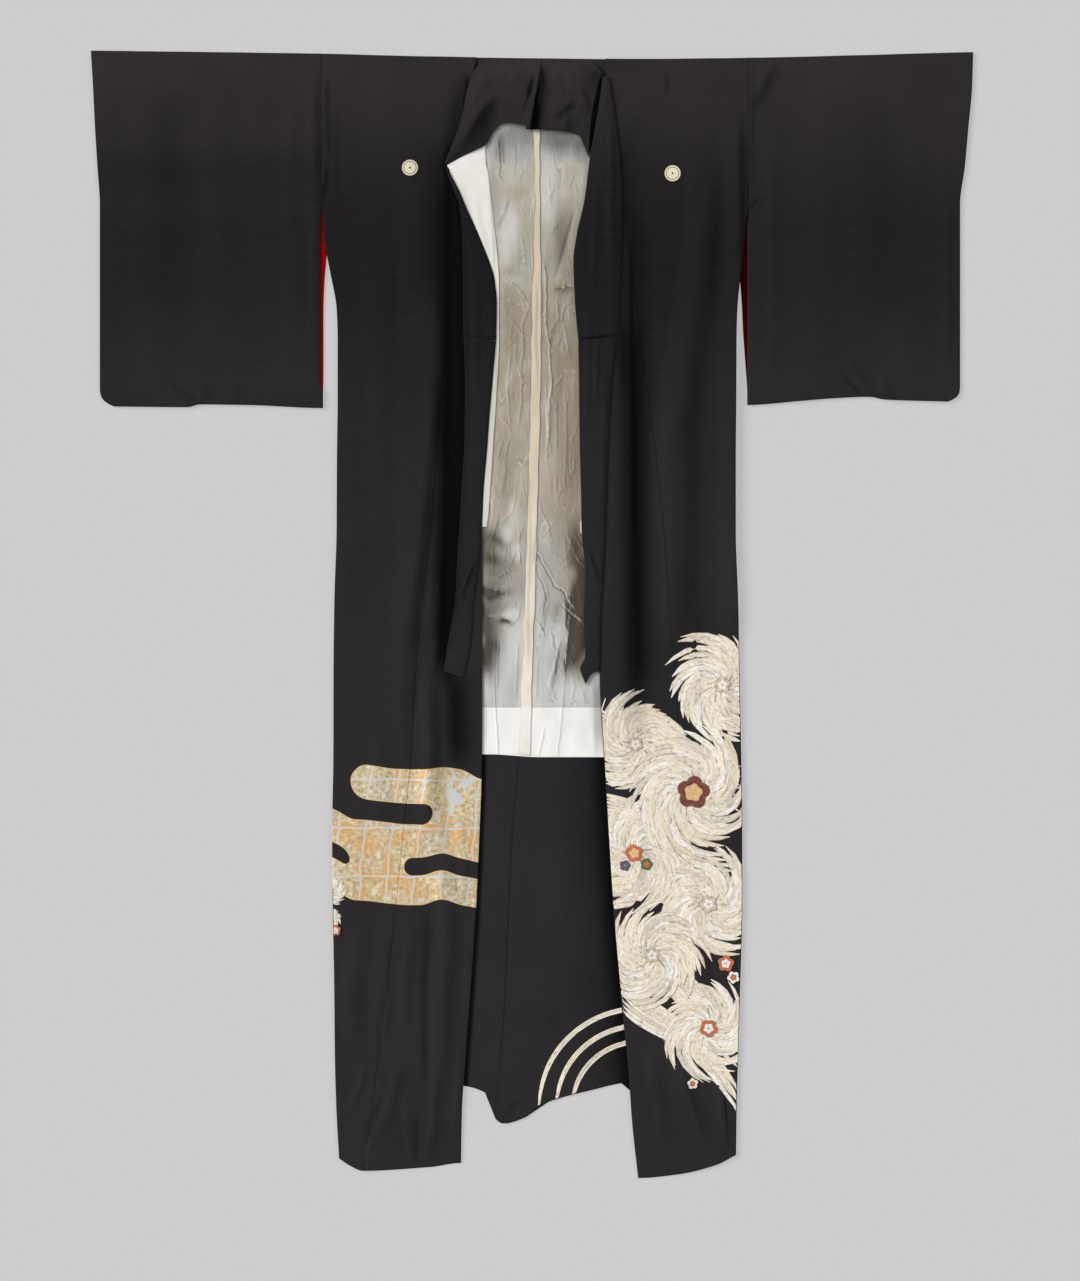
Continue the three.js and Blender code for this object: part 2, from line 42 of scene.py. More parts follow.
# "right" and "left" are the wearer's; the wearer's right is at negative X. Tables are in millimetres.
layers = {  # each cloth's thickness, the gap at a seam, and each layer's underside where it lies flat
    "cloth": 1.5, "lining": 1.0, "collar": 2.4, "gap": 0.08,
    "liningFloor": 1.8, "tapeFloor": 3.1, "frontFloor": 3.2, "sleeveFloor": 4.2, "sleeveRim": 3.4,
}
fineness = {  # points across each piece, then the step from row to row, or for the neck the points down it
    "body": (58, 14, 6.8), "okumiRight": (34, 4), "okumiLeft": (38, 4), "sleeve": (66, 5),
    "sleeveLining": (8, 8), "liningRight": (74, 2.7), "liningLeft": (88, 2.7), "bandStep": 2,
    "hemLining": (30, 5), "tape": (10, 3), "collarLiningRight": (20, 4), "collarLiningLeft": (8, 3),
    "collar": (22, 5), "neck": (150, 46),
}
lengths = {
    "shoulder": 809, "fold": 3, "armholeEnd": 594, "sideOpeningEnd": 500,
    "overlapTopLeft": 594, "overlapTopRight": 551, "sleeveHemStart": 360, "sleeveHem": 301,
    "bandTop": -135, "hemLiningTop": -207, "hemStart": -520, "hem": -796,
    "liningTop": 735, "liningTuck": 14, "liningShift": 1.2,
}
stationColumns = ("y", "rSide", "rSeam", "rEdge", "mid", "lEdge", "lSeam", "lSide")
stationRows = [
    (809, -304.7, -81, -81, 7, 106, 106, 314.9),
    (747, -304.7, -90, -90, 7, 112, 112, 314.9),
    (660, -304.7, -102, -102, 6, 123, 123, 314.9),
    (594, -304.7, -106, -105, 4.5, 128, 133.5, 314.9),
    (575, -303.9, -107, -104.6, 3.8, 127.2, 136.2, 311.6),
    (551, -302.5, -108, -104, 3, 126, 139.5, 309),
    (500, -293.5, -113, -100, 1.5, 123.5, 145, 303.6),
    (442, -283.4, -119, -96, 0, 119, 154, 297.6),
    (398, -282, -123, -93, -1.5, 116, 158, 296.4),
    (311, -282, -132, -87, -3.5, 110, 170, 296),
    (224, -283, -138, -81, -6, 104.5, 181, 295.3),
    (123, -283.5, -146, -72.5, -8.5, 99.5, 191.5, 295.3),
    (21, -286.7, -158, -72, -11.5, 98, 199, 298.7),
    (-83, -288, -168, -72, -15, 98, 207, 301),
    (-207, -288.2, -175, -72.5, -19.5, 104.5, 217.5, 303.5),
    (-313, -290, -186, -76, -28.5, 110.5, 230, 305),
    (-422, -289, -197, -81, -34, 117.5, 248, 305),
    (-538, -287, -210, -88.5, -38.5, 127.5, 261, 302),
    (-646, -286, -223.5, -96.5, -45, 139.5, 273.5, 299),
    (-719, -284, -233.5, -101.5, -51, 145, 281.5, 297),
    (-796, -280, -241, -103, -54, 154, 287, 296),
]
shoulderLine = [
    (-640, 818), (-305, 813.5), (-148, 809.5), (12, 807.5), (157, 806), (309, 807.5), (640, 816),
]
frontHem = [(-280, -789), (-265, -799), (-245, -807), (-148, -802), (-103, -796), (154, -818), (215, -812),
            (266, -799), (296, -784)]
backHem = [(-280, -786), (-200, -738), (-103, -684), (-66, -695), (-52, -733), (-42, -739), (-6, -728),
           (12, -712), (99, -687), (128, -680), (145, -694), (220, -735), (296, -781)]


def smooth(value):
    t = np.clip(value, 0, 1)
    return t * t * (3 - 2 * t)


def curveThrough(knots, values):
    # a curve through the rows of a table that never overshoots them
    order = np.argsort(knots)
    k, v = np.asarray(knots, float)[order], np.asarray(values, float)[order]
    h = np.diff(k)
    d = np.diff(v) / h
    slope = np.zeros_like(v)
    turn = d[:-1] * d[1:] > 0
    before, after = np.where(turn, d[:-1], 1), np.where(turn, d[1:], 1)
    slope[1:-1] = np.where(turn, 2 * before * after / (before + after), 0)
    slope[0], slope[-1] = d[0], d[-1]

    def read(at):
        at = np.asarray(at, float)
        i = np.clip(np.searchsorted(k, at) - 1, 0, len(k) - 2)
        t = np.clip((at - k[i]) / h[i], 0, 1)
        rise = (3 - 2 * t) * t * t
        return (v[i] * (1 - rise) + v[i + 1] * rise
                + h[i] * (slope[i] * t * (1 - t) ** 2 - slope[i + 1] * t * t * (1 - t)))
    return read


def columnOf(rows, columns, name):
    return [row[columns.index(name)] for row in rows]


stationY = columnOf(stationRows, stationColumns, "y")
bodyLine = {name: curveThrough(stationY, columnOf(stationRows, stationColumns, name))
            for name in stationColumns[1:]}
shoulderAt = curveThrough(*zip(*shoulderLine))
frontHemAt = curveThrough(*zip(*frontHem))
backHemAt = curveThrough(*zip(*backHem))

# A fold runs from x0, y0 down to x1, y1. It reaches so far to its west and east, and stands so high
# (or lies so deep, where the height is negative); sway is how much it wanders on the way.
frontFolds = [
    (-141, 655, -149, -70, 60, 26, 11, 1),
    (-148, -70, -151, -330, 22, 20, 8, 1),
    (-122, -320, -132, -700, 24, 22, 5, 2),
    (262, 640, 205, 240, 36, 36, 6.5, 1), (205, 330, 208, -80, 38, 38, 8, 1),
    (300, 740, 297, -60, 32, 10, 6, 1),
]
fineFolds = [
    (-289, 790, -288, 560, 8, 10, 1.2, 1), (-262, 420, -268, -40, 26, 30, 1.6, 3),
    (-224, 560, -214, 60, 30, 34, 1.4, 4), (-190, 60, -186, -260, 20, 20, 1.6, 2),
    (-104, -260, -100, -460, 12, 13, 1.6, 2), (-226, -130, -214, -420, 20, 24, 1.4, 3),
    (-252, -420, -262, -660, 24, 26, 3.0, 3), (-206, -430, -216, -640, 9, 10, 2.0, 2),
    (-176, -440, -190, -620, 12, 16, 2.4, 2), (-186, -640, -222, -760, 12, 14, 2.4, 2),
    (-136, -640, -150, -806, 10, 12, 2.6, 1), (-182, -690, -176, -806, 9, 9, 2.0, 1),
    (-240, -650, -262, -720, 8, 9, 1.8, 1), (-104, -600, -112, -780, 9, 9, 1.8, 1),
    (139, 560, 146, 90, 9, 7, 3.0, 1), (231, 700, 238, 560, 16, 20, 1.6, 4),
    (198, 790, 197, 752, 5, 5, -1.6, 0), (246, 60, 232, -150, 18, 14, 2.2, 3),
    (282, -60, 276, -300, 12, 12, 2.2, 2), (150, -260, 160, -520, 16, 18, 2.4, 3),
    (226, -300, 244, -560, 12, 14, 2.4, 3), (172, -620, 196, -800, 14, 16, 2.4, 2),
    (210, -640, 262, -780, 12, 12, 2.8, 1), (262, -640, 284, -760, 9, 9, 2.4, 1),
]
frontShade = [  # where the cloth lies deep in a fold and hardly any light reaches it
    (-106, 700, -105, 420, 26, 20, 1.0, 0), (-104, 500, -110, 190, 34, 20, 1.0, 1),
    (-106, 270, -118, 10, 30, 20, 1.0, 1), (-112, 100, -131, -120, 22, 20, 1.0, 1),
    (-94, 790, -98, 716, 4, 8, 1.0, 0),
]
softShade = [
    (-124, 710, -126, 430, 72, 10, 0.5, 0), (-134, 370, -152, 120, 13, 11, 0.45, 1),
    (-146, 200, -176, -90, 14, 15, 0.55, 1), (-172, 420, -176, 100, 26, 26, 0.18, 1),
    (-114, -50, -106, -250, 26, 38, 0.85, 0), (-168, -60, -176, -160, 12, 11, 0.3, 0),
    (136, 740, 142, -170, 30, 36, 0.30, 1), (150, 610, 152, -215, 34, 34, 0.36, 0),
    (144, 450, 158, -130, 26, 42, 0.42, 1), (131, 450, 133, 300, 12, 10, 0.25, 0),
    (-151, -400, -157, -700, 14, 8, 0.4, 2), (-166, -715, -170, -805, 5, 5, 0.4, 1),
    (-297, 800, -295, 640, 7, 7, 0.5, 0), (-295, 660, -304, 592, 6, 6, 0.6, 0),
    (-96, 796, -127, 620, 20, 16, 0.6, 0), (-205, -420, -226, -650, 9, 9, 0.22, 2),
    (-214, -690, -246, -770, 9, 7, 0.25, 1), (240, 400, 235, -60, 22, 22, 0.24, 2),
    (268, 700, 262, 420, 17, 17, 0.18, 1), (126, 690, 133, 540, 8, 14, 0.4, 1),
    (197, 790, 197, 752, 5, 5, 0.5, 0), (218, -660, 256, -770, 9, 7, 0.35, 1),
]


def strokes(x, y, rows, profile="soft"):
    # the sum of a table of folds; "flat" gives them a level top
    total = np.zeros_like(x)
    for x0, y0, x1, y1, west, east, height, sway in rows:
        length = np.hypot(x1 - x0, y1 - y0)
        ux, uy = (x1 - x0) / length, (y1 - y0) / length
        along = (x - x0) * ux + (y - y0) * uy
        off = (y - y0) * ux - (x - x0) * uy - sway * np.sin(along / (4 + length / 12) + x0)
        across = np.clip(1 - np.abs(off) / np.where(off < 0, west, east), 0, 1)
        ends = smooth(np.minimum(along, length - along) / min(70, 0.35 * length))
        shape = smooth(across * {"soft": 1, "flat": 1.7}[profile])
        total += height * shape * ends
    return total


def blots(x, y, rows):
    # soft patches: middle, half width, half height and strength
    total = np.zeros_like(x)
    for cx, cy, wide, tall, amount in rows:
        total += amount * smooth(1.25 - np.hypot((x - cx) / wide, (y - cy) / tall))
    return total


def creases(x, y, paths, share):
    # Pressed creases, each a height, a reach and the points it runs through. share picks the ridge
    # itself, the pale line along its lit side, or the shade along the other.
    total = np.zeros_like(x)
    for height, reach, points in paths:
        nearest, side, run = np.full_like(x, 1e6), np.zeros_like(x), np.zeros_like(x)
        passed = 0.0
        for (x0, y0), (x1, y1) in zip(points, points[1:]):
            length = np.hypot(x1 - x0, y1 - y0)
            ux, uy = (x1 - x0) / length, (y1 - y0) / length
            along = np.clip((x - x0) * ux + (y - y0) * uy, 0, length)
            away = np.hypot(x - x0 - along * ux, y - y0 - along * uy)
            closer = away < nearest
            nearest = np.where(closer, away, nearest)
            side = np.where(closer, (y - y0) * ux - (x - x0) * uy, side)
            run = np.where(closer, passed + along, run)
            passed += length
        ends = smooth(np.minimum(run, passed - run) / min(12, 0.3 * passed) + 0.15)
        uneven = 0.72 + 0.28 * np.sin(run / 2.3 + points[0][0]) * np.sin(run / 5.1 + points[0][1])
        side = side + 0.5 * np.sin(run / 3.7 + points[0][0])
        crest = ends * (nearest < 2 * reach)
        if share == "ridge":
            total += ends * 0.6 * height * np.clip(1 - nearest / reach, 0, 1) ** 1.3
        elif share == "lit":
            line = smooth(1 - np.abs(side + 0.15 * reach) / (0.32 * reach))
            total += crest * uneven * min(1.0, 0.30 * height) * line
        else:
            shaded = 0.7 if height > 2 else 0.26 * height
            total += crest * shaded * smooth(1 - np.abs(side - 0.34 * reach) / (0.55 * reach))
    return total


def crumples(seed, count, west, east, low, high):
    # small creases strewn over a stretch of thin silk, mostly down it
    chance = np.random.default_rng(seed)
    paths = []
    for _ in range(count):
        x, y, turn = chance.uniform(west, east), chance.uniform(low, high), chance.normal(0, 0.35)
        points = [(x, y)]
        for _ in range(2):
            length = chance.uniform(8, 26)
            x, y = x + length * np.sin(turn), y - length * np.cos(turn)
            turn += chance.normal(0, 0.5)
            points.append((x, y))
        paths.append((chance.uniform(0.5, 1.3), chance.uniform(1.8, 3.0), points))
    return paths


def ripple(x, y, seed, lengthRange, height):
    # a few long crossing waves, so that no stretch of cloth is quite flat
    chance = np.random.default_rng(seed)
    total = np.zeros_like(x)
    count = 7
    for _ in range(count):
        length = chance.uniform(*lengthRange)
        angle = chance.uniform(-0.5, 0.5)
        phase = chance.uniform(0, 6.28)
        total += np.sin(6.283 * (x * np.cos(angle) + y * np.sin(angle) * 0.6) / length + phase)
    return height * total / count


def frontUnder(x, y):
    back, front = backHemAt(x), frontHemAt(x)
    past = np.clip((back - 6 - y) / np.maximum(back - 6 - front, 1), 0, 1)
    drop = layers["frontFloor"] * past * np.clip((back - front - 30) / 60, 0, 1)
    relief = strokes(x, y, frontFolds) + strokes(x, y, fineFolds) + 0.9 + ripple(x, y, 3, (60, 190), 1.5)
    return layers["frontFloor"] - drop + np.maximum(relief, 0)


def shapedY(x, y, hemAt):
    # level rows follow the shoulder line at the top and the hem's curve at the bottom
    top = (shoulderAt(x) - lengths["shoulder"]) * np.clip((y - 650) / (lengths["shoulder"] - 650), 0, 1)
    start = lengths["hemStart"]
    low = (hemAt(x) - lengths["hem"]) * np.clip((y - start) / (lengths["hem"] - start), 0, 1)
    return y + top + low


def spread(count, edge):
    # even steps from 0 to 1, with one more line close to each end, where the cloth's edge rounds over
    return np.concatenate([[0, edge], np.linspace(0, 1, count)[1:-1], [1 - edge, 1]])


def rowsDown(top, bottom, step, edge=0.8):
    count = max(4, int((top - bottom) / step))
    return top - (top - bottom) * spread(count, edge / (top - bottom))


def meeting(mask):
    # the four cells that meet at each point of a grid
    return mask[:-1, :-1], mask[1:, :-1], mask[:-1, 1:], mask[1:, 1:]


def anyOf(masks):
    return np.logical_or.reduce(masks)


def allOf(masks):
    return np.logical_and.reduce(masks)


def cells(place, filled):
    # The faces around the filled cells of a grid (levels, rows, columns, 3), in millimetres, with free
    # edges thinned so that they round over. Gives points, faces and each point's number in the grid.
    levels, rows, columns = place.shape[:3]
    padded = np.zeros((levels + 1, rows + 1, columns + 1), bool)
    padded[1:levels, 1:rows, 1:columns] = filled
    number = np.arange(levels * rows * columns).reshape(levels, rows, columns)
    place = place.copy()
    wall = place[1:, :, :, 2] - place[:-1, :, :, 2]
    for layer in range(levels - 1):
        rim = anyOf(meeting(padded[layer + 1])) & ~allOf(meeting(padded[layer + 1]))
        joinedUp, joinedDown = anyOf(meeting(padded[layer + 2])), anyOf(meeting(padded[layer]))
        squeeze = 0.36 * wall[layer]
        place[layer + 1, :, :, 2] -= np.where(rim & ~joinedUp, squeeze, 0)
        place[layer, :, :, 2] += np.where(rim & ~joinedDown, squeeze, 0)
    first, last = slice(0, -1), slice(1, None)
    a, b, c, d = (first, first), (last, first), (last, last), (first, last)
    quads = []
    for layer in range(levels - 1):
        here = padded[layer + 1, 1:rows, 1:columns]
        low, high = number[layer], number[layer + 1]
        sides = [
            (padded[layer + 2, 1:rows, 1:columns], (high[a], high[b], high[c], high[d])),
            (padded[layer, 1:rows, 1:columns], (low[a], low[d], low[c], low[b])),
            (padded[layer + 1, 1:rows, 0:columns - 1], (low[a], low[b], high[b], high[a])),
            (padded[layer + 1, 1:rows, 2:columns + 1], (low[d], high[d], high[c], low[c])),
            (padded[layer + 1, 0:rows - 1, 1:columns], (low[a], high[a], high[d], low[d])),
            (padded[layer + 1, 2:rows + 1, 1:columns], (low[b], low[c], high[c], high[b])),
        ]
        for neighbour, corners in sides:
            bare = here & ~neighbour
            quads.append(np.stack([corner[bare] for corner in corners], axis=1))
    quads = np.concatenate(quads)
    used, quads = np.unique(quads, return_inverse=True)
    return place.reshape(-1, 3)[used] * mm, quads.reshape(-1, 4), used


def clothPiece(name, place, filled=None, **looks):
    # looks are shares from 0 to 1 that the finish reads, such as deep, how little light gets there
    levels, rows, columns = place.shape[:3]
    if filled is None:
        filled = np.ones((levels - 1, rows - 1, columns - 1), bool)
    points, quads, used = cells(place, filled)
    level = np.repeat(np.arange(levels), rows * columns)[used]
    onTop = (level >= levels - 2).astype(float)
    mesh = bpy.data.meshes.new(name)
    mesh.from_pydata(points.tolist(), [], quads.tolist())
    keepAttribute(mesh, "outside", level == levels - 1)
    for look, share in {"deep": 0, **looks}.items():
        share = np.clip(share, 0, 1) * np.ones(place.shape[:3])
        keepAttribute(mesh, look, share.reshape(-1)[used] * onTop)
    piece = bpy.data.objects.new(name, mesh)
    bpy.context.collection.objects.link(piece)
    return piece


def keepAttribute(mesh, name, values):
    if np.ndim(values) == 1:
        mesh.attributes.new(name, "FLOAT", "POINT").data.foreach_set("value", values.astype(np.float32))
    else:
        values = np.concatenate([values, np.ones((len(values), 1))], axis=1).astype(np.float32)
        mesh.attributes.new(name, "FLOAT_COLOR", "POINT").data.foreach_set("color", values.reshape(-1))


def shade(piece, angle=0.9):
    bpy.ops.object.select_all(action="DESELECT")
    piece.select_set(True)
    bpy.context.view_layer.objects.active = piece
    bpy.ops.object.shade_smooth_by_angle(angle=angle)
    piece.select_set(False)


def dress(piece, material, cut, nodes=()):
    # cut is the flat width, length and area in metres; it is not used
    shade(piece)
    piece.data.materials.append(material)
    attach(piece, "root")
    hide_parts(*nodes)


class Signal:
    # wraps a node's output, so that shader sums are written as sums
    def __init__(self, finish, socket):
        self.finish, self.socket = finish, socket

    def __add__(self, other):
        return self.finish.maths("ADD", self, other)

    def __radd__(self, other):
        return self.finish.maths("ADD", other, self)

    def __sub__(self, other):
        return self.finish.maths("SUBTRACT", self, other)

    def __rsub__(self, other):
        return self.finish.maths("SUBTRACT", other, self)

    def __mul__(self, other):
        return self.finish.maths("MULTIPLY", self, other)

    def __rmul__(self, other):
        return self.finish.maths("MULTIPLY", other, self)

    def __truediv__(self, other):
        return self.finish.maths("DIVIDE", self, other)

    def __rtruediv__(self, other):
        return self.finish.maths("DIVIDE", other, self)


class Finish:
    def __init__(self, name, roughness=0.8, specular=0.25, sheen=0.0):
        self.material = bpy.data.materials.new(name)
        self.material.use_nodes = True
        self.tree = self.material.node_tree
        self.tree.nodes.clear()
        self.shader = self.tree.nodes.new("ShaderNodeBsdfPrincipled")
        output = self.tree.nodes.new("ShaderNodeOutputMaterial")
        self.tree.links.new(self.shader.outputs["BSDF"], output.inputs["Surface"])
        self.shader.inputs["Roughness"].default_value = roughness
        self.shader.inputs["Specular IOR Level"].default_value = specular
        self.shader.inputs["Sheen Weight"].default_value = sheen
        self.shader.inputs["Sheen Roughness"].default_value = 0.5
        self.place = self.node("ShaderNodeTexCoord", {}, {}, "Object")

    def feed(self, socket, value):
        if isinstance(value, Signal):
            self.tree.links.new(value.socket, socket)
        else:
            socket.default_value = value

    def node(self, kind, settings, inputs, output=0):
        made = self.tree.nodes.new(kind)
        stops = settings.get("stops")
        for key, value in settings.items():
            if key != "stops":
                setattr(made, key, value)
        if stops:
            ramp = made.color_ramp
            ramp.elements[0].position, ramp.elements[0].color = stops[0][0], (*stops[0][1], 1)
            ramp.elements[1].position, ramp.elements[1].color = stops[1][0], (*stops[1][1], 1)
            for at, colour in stops[2:]:
                ramp.elements.new(at).color = (*colour, 1)
        for key, value in inputs.items():
            self.feed(made.inputs[key], value)
        return Signal(self, made.outputs[output])

    def maths(self, operation, *values):
        return self.node("ShaderNodeMath", {"operation": operation}, dict(enumerate(values)))

    def mix(self, share, first, second):
        first, second = (c if isinstance(c, Signal) else (*c, 1) for c in (first, second))
        return self.node("ShaderNodeMix", {"data_type": "RGBA"}, {0: share, 6: first, 7: second}, 2)

    def tint(self, tone, value, low, high, share, colour):
        # a share of another colour, which comes in as the value goes from low to high
        return self.mix(self.step(value, low, high) * share, tone, colour)

    def step(self, value, low, high):
        # 0 below low, 1 above high; the other way round where low is the larger
        return self.node("ShaderNodeMapRange", {"interpolation_type": "SMOOTHSTEP"},
                         {"Value": value, "From Min": low, "From Max": high})

    def ramp(self, value, stops):
        # colours at stated values
        low, high = stops[0][0], stops[-1][0]
        share = self.node("ShaderNodeMapRange", {}, {"Value": value, "From Min": low, "From Max": high})
        stops = [((at - low) / (high - low), colour) for at, colour in stops]
        inner = [stops[0], stops[-1]] + stops[1:-1]
        return self.node("ShaderNodeValToRGB", {"stops": inner}, {0: share}, "Color")

    def noise(self, scale, detail=2.0, place=None, roughness=0.5):
        return self.node("ShaderNodeTexNoise", {}, {"Vector": place or self.place, "Scale": scale,
                                                   "Detail": detail, "Roughness": roughness}, "Fac")

    def wave(self, scale, direction, distortion):
        return self.node("ShaderNodeTexWave", {"bands_direction": direction},
                         {"Vector": self.place, "Scale": scale, "Distortion": distortion}, "Fac")

    def stretched(self, x, y):
        return self.node("ShaderNodeMapping", {}, {"Vector": self.place, "Scale": (x, y, 1.0)})

    def axis(self, name):
        return self.node("ShaderNodeSeparateXYZ", {}, {0: self.place}, name)

    def attribute(self, name, output="Fac"):
        return self.node("ShaderNodeAttribute", {"attribute_name": name}, {}, output)

    def bump(self, height, distance, strength):
        normal = self.node("ShaderNodeBump", {},
                           {"Height": height, "Distance": distance, "Strength": strength})
        self.feed(self.shader.inputs["Normal"], normal)

    def set(self, name, value):
        self.feed(self.shader.inputs[name], value)


# painted light: the tones follow how the light fell, lightest at the shoulders and darkest a little below
# the armholes
blackSilk = {  # its tones go by Y in metres, from the hem up to the shoulders
    "tones": [
        (-0.80, (0.0215, 0.0195, 0.0203)), (-0.50, (0.0225, 0.0203, 0.0212)),
        (0.10, (0.0190, 0.0184, 0.0188)), (0.26, (0.0172, 0.0164, 0.0168)),
        (0.38, (0.0134, 0.0126, 0.0131)), (0.47, (0.0100, 0.0094, 0.0098)),
        (0.54, (0.0100, 0.0092, 0.0096)), (0.595, (0.0112, 0.0100, 0.0104)),
        (0.635, (0.0134, 0.0116, 0.0120)), (0.69, (0.0190, 0.0160, 0.0163)),
        (0.745, (0.0245, 0.0204, 0.0206)), (0.80, (0.0268, 0.0223, 0.0226)),
    ],
    "sleeveTones": [
        (-0.80, (0.0215, 0.0195, 0.0203)), (0.34, (0.0196, 0.0184, 0.0190)),
        (0.47, (0.0138, 0.0127, 0.0132)), (0.56, (0.0130, 0.0116, 0.0120)),
        (0.61, (0.0158, 0.0136, 0.0139)), (0.68, (0.0222, 0.0185, 0.0188)),
        (0.80, (0.0266, 0.0222, 0.0225)),
    ],
    "grain": 1300,
}
crests = {"radius": 0.0115, "ring": 0.0090, "ringWidth": 0.00035, "dot": 0.0014,
          "colour": (0.74, 0.66, 0.49),
          "places": {"body_right": (-0.1770, 0.6480), "body_left": (0.2039, 0.6400)}}


threads = {"crepe": 0.0007, "lining": 0.0009}  # from one thread to the next, in metres


def weaveScale(pitch):
    return 0.31416 / pitch  # gives one wave to a thread


def blackCloth(name, crest=None, pattern=None, tones="tones"):
    finish = Finish(name, specular=0.08, sheen=0.02)
    y = finish.axis("Y")
    x = finish.axis("X")
    # painted light from the tones by height
    tone = finish.ramp(y, blackSilk[tones])
    cloud = finish.noise(7, 3)
    tone = finish.tint(tone, cloud, 0.35, 0.75, 0.3, (0.0100, 0.0095, 0.0105))
    slub = finish.noise(1.0, 2, finish.stretched(14, 420))  # faint lines along the weft
    tone = finish.tint(tone, slub, 0.5, 0.8, 0.22, (0.030, 0.025, 0.025))
    warp = finish.wave(weaveScale(threads["crepe"]), "X", 0.6)
    weft = finish.wave(weaveScale(threads["crepe"] * 0.8), "Y", 0.9)
    grain = finish.noise(blackSilk["grain"], 2)
    height = warp * 0.35 + weft * 0.45 + grain * 0.9
    rough = 0.78 + grain * 0.12
    if crest:
        cx, cy = crest
        reach = finish.maths("SQRT", (x - cx) * (x - cx) + (y - cy) * (y - cy))
        disc = finish.step(reach, crests["radius"] + 0.0005, crests["radius"] - 0.0005)
        disc = disc * finish.attribute("outside")
        ringAt = finish.maths("ABSOLUTE", reach - crests["ring"])
        ring = finish.step(ringAt, crests["ringWidth"] + 0.0004, crests["ringWidth"] - 0.0002)
        dot = finish.step(reach, crests["dot"] + 0.0004, crests["dot"] - 0.0004)
        figure = finish.mix(finish.maths("MAXIMUM", ring, dot), crests["colour"], (0.03, 0.027, 0.026))
        tone = finish.mix(disc, tone, figure)
    if pattern == "mist":
        gold, leaf, shine = mistBands(finish, x, y)
        gold = gold * finish.attribute("outside")
        tone = finish.mix(gold, tone, leaf)
        rough = rough + gold * shine
        finish.set("Metallic", gold * 0.1)
    tone = finish.mix(finish.attribute("deep"), tone, (0.0006, 0.0005, 0.0006))
    finish.set("Base Color", tone)
    finish.set("Roughness", rough)
    finish.bump(height, 0.00012, 0.7)
    return finish.material


mist = {  # bands of drifting mist in gold leaf; each bar has round ends (metres)
    "gold": [
        (-0.2382, 0.05, -0.2496, 0.0249), (-0.45, 0.05, -0.3555, 0.0660), (-0.1500, 0.05, -0.2800, 0.0140),
    ],
    "gaps": [
        (-0.45, -0.1589, -0.2897, 0.0150), (-0.45, -0.2755, -0.3640, 0.0112),
        (-0.1728, 0.05, -0.3660, 0.0127),
    ],
    "leaf": (0.0395, 0.0700), "lean": 0.11, "corner": (-0.2815, -0.2400), "blur": 0.0004, "border": 0.0012,
}


def barMask(finish, x, y, bars, grown=0.0):
    inside = 0.0
    for left, right, level, radius in bars:
        along = finish.maths("MAXIMUM", finish.maths("MAXIMUM", left - x, x - right), 0)
        reach = finish.maths("SQRT", along * along + (y - level) * (y - level))
        edge = radius + grown
        bar = finish.step(reach, edge + mist["blur"], edge - mist["blur"])
        inside = finish.maths("MAXIMUM", inside, bar)
    return inside


def mistBands(finish, x, y):
    lower = finish.step(y, -0.24, -0.42)
    wander = (finish.step(finish.maths("ABSOLUTE", x + 0.130), 0.032, 0.0) * (0.0035 + lower * 0.0050)
              - finish.step(x, -0.106, -0.070) * (0.014 - lower * 0.009)
              + finish.step(x, -0.175, -0.262) * 0.0075 + finish.step(x, -0.256, -0.296) * 0.017
              + (finish.noise(22, 1) - 0.5) * 0.003)
    level = y - wander
    inside = barMask(finish, x, level, mist["gold"]) * (1 - barMask(finish, x, level, mist["gaps"]))
    core = barMask(finish, x, level, mist["gold"], -mist["border"])
    core = core * (1 - barMask(finish, x, level, mist["gaps"], mist["border"]))
    # squares of leaf with the silver ground between them
    wobble = (finish.noise(24, 2) - 0.5) * 0.014
    wide, tall = mist["leaf"]
    left, low = mist["corner"]
    u = (x - (y + 0.3127) * mist["lean"] - left + wobble) / wide
    v = (y - low + wobble * 0.6) / tall
    toSide = (0.5 - finish.maths("ABSOLUTE", finish.maths("FRACT", u) - 0.5)) * wide
    toEnd = (0.5 - finish.maths("ABSOLUTE", finish.maths("FRACT", v) - 0.5)) * tall
    toLine = finish.maths("MINIMUM", toSide, toEnd)
    frayed = toLine + (finish.noise(190, 3) - 0.5) * 0.0034
    ground = finish.step(frayed, 0.0021, 0.0010)
    torn = finish.step(finish.noise(30, 3) + finish.step(x, -0.165, -0.120) * 0.10, 0.69, 0.73)
    square = finish.node("ShaderNodeTexWhiteNoise", {"noise_dimensions": "1D"},
                         {"W": finish.maths("FLOOR", u) * 7.0 + finish.maths("FLOOR", v)}, "Value")
    leaf = finish.mix(finish.step(square, 0.45, 0.9) * 0.7, (0.600, 0.485, 0.290), (0.53, 0.47, 0.36))
    crumple = finish.noise(150, 4, None, 0.62)
    leaf = finish.tint(leaf, crumple, 0.52, 0.62, 0.75, (0.80, 0.73, 0.56))
    leaf = finish.tint(leaf, crumple, 0.47, 0.37, 0.62, (0.34, 0.255, 0.14))
    leaf = finish.tint(leaf, finish.noise(20, 3), 0.54, 0.64, 0.50, (0.66, 0.36, 0.12))
    vein = finish.maths("ABSOLUTE", finish.noise(120, 2) - 0.5)
    leaf = finish.tint(leaf, vein, 0.022, 0.006, 0.55, (0.24, 0.16, 0.07))
    amber = finish.step(frayed, 0.0075, 0.0030) * finish.step(finish.noise(15, 2), 0.44, 0.58)
    leaf = finish.mix(amber * 0.8, leaf, (0.68, 0.34, 0.085))
    leaf = finish.mix(finish.maths("MAXIMUM", ground, torn), leaf, (0.575, 0.57, 0.54))
    leaf = finish.mix((1 - core) * 0.75, leaf, (0.70, 0.47, 0.22))
    # painted shade: a darker band across the gold where the front folds
    fold = finish.step(finish.maths("ABSOLUTE", x + 0.128), 0.012, 0.0) * 0.28
    leaf = finish.mix(fold, leaf, (0.16, 0.13, 0.07))
    return inside, leaf, -0.25


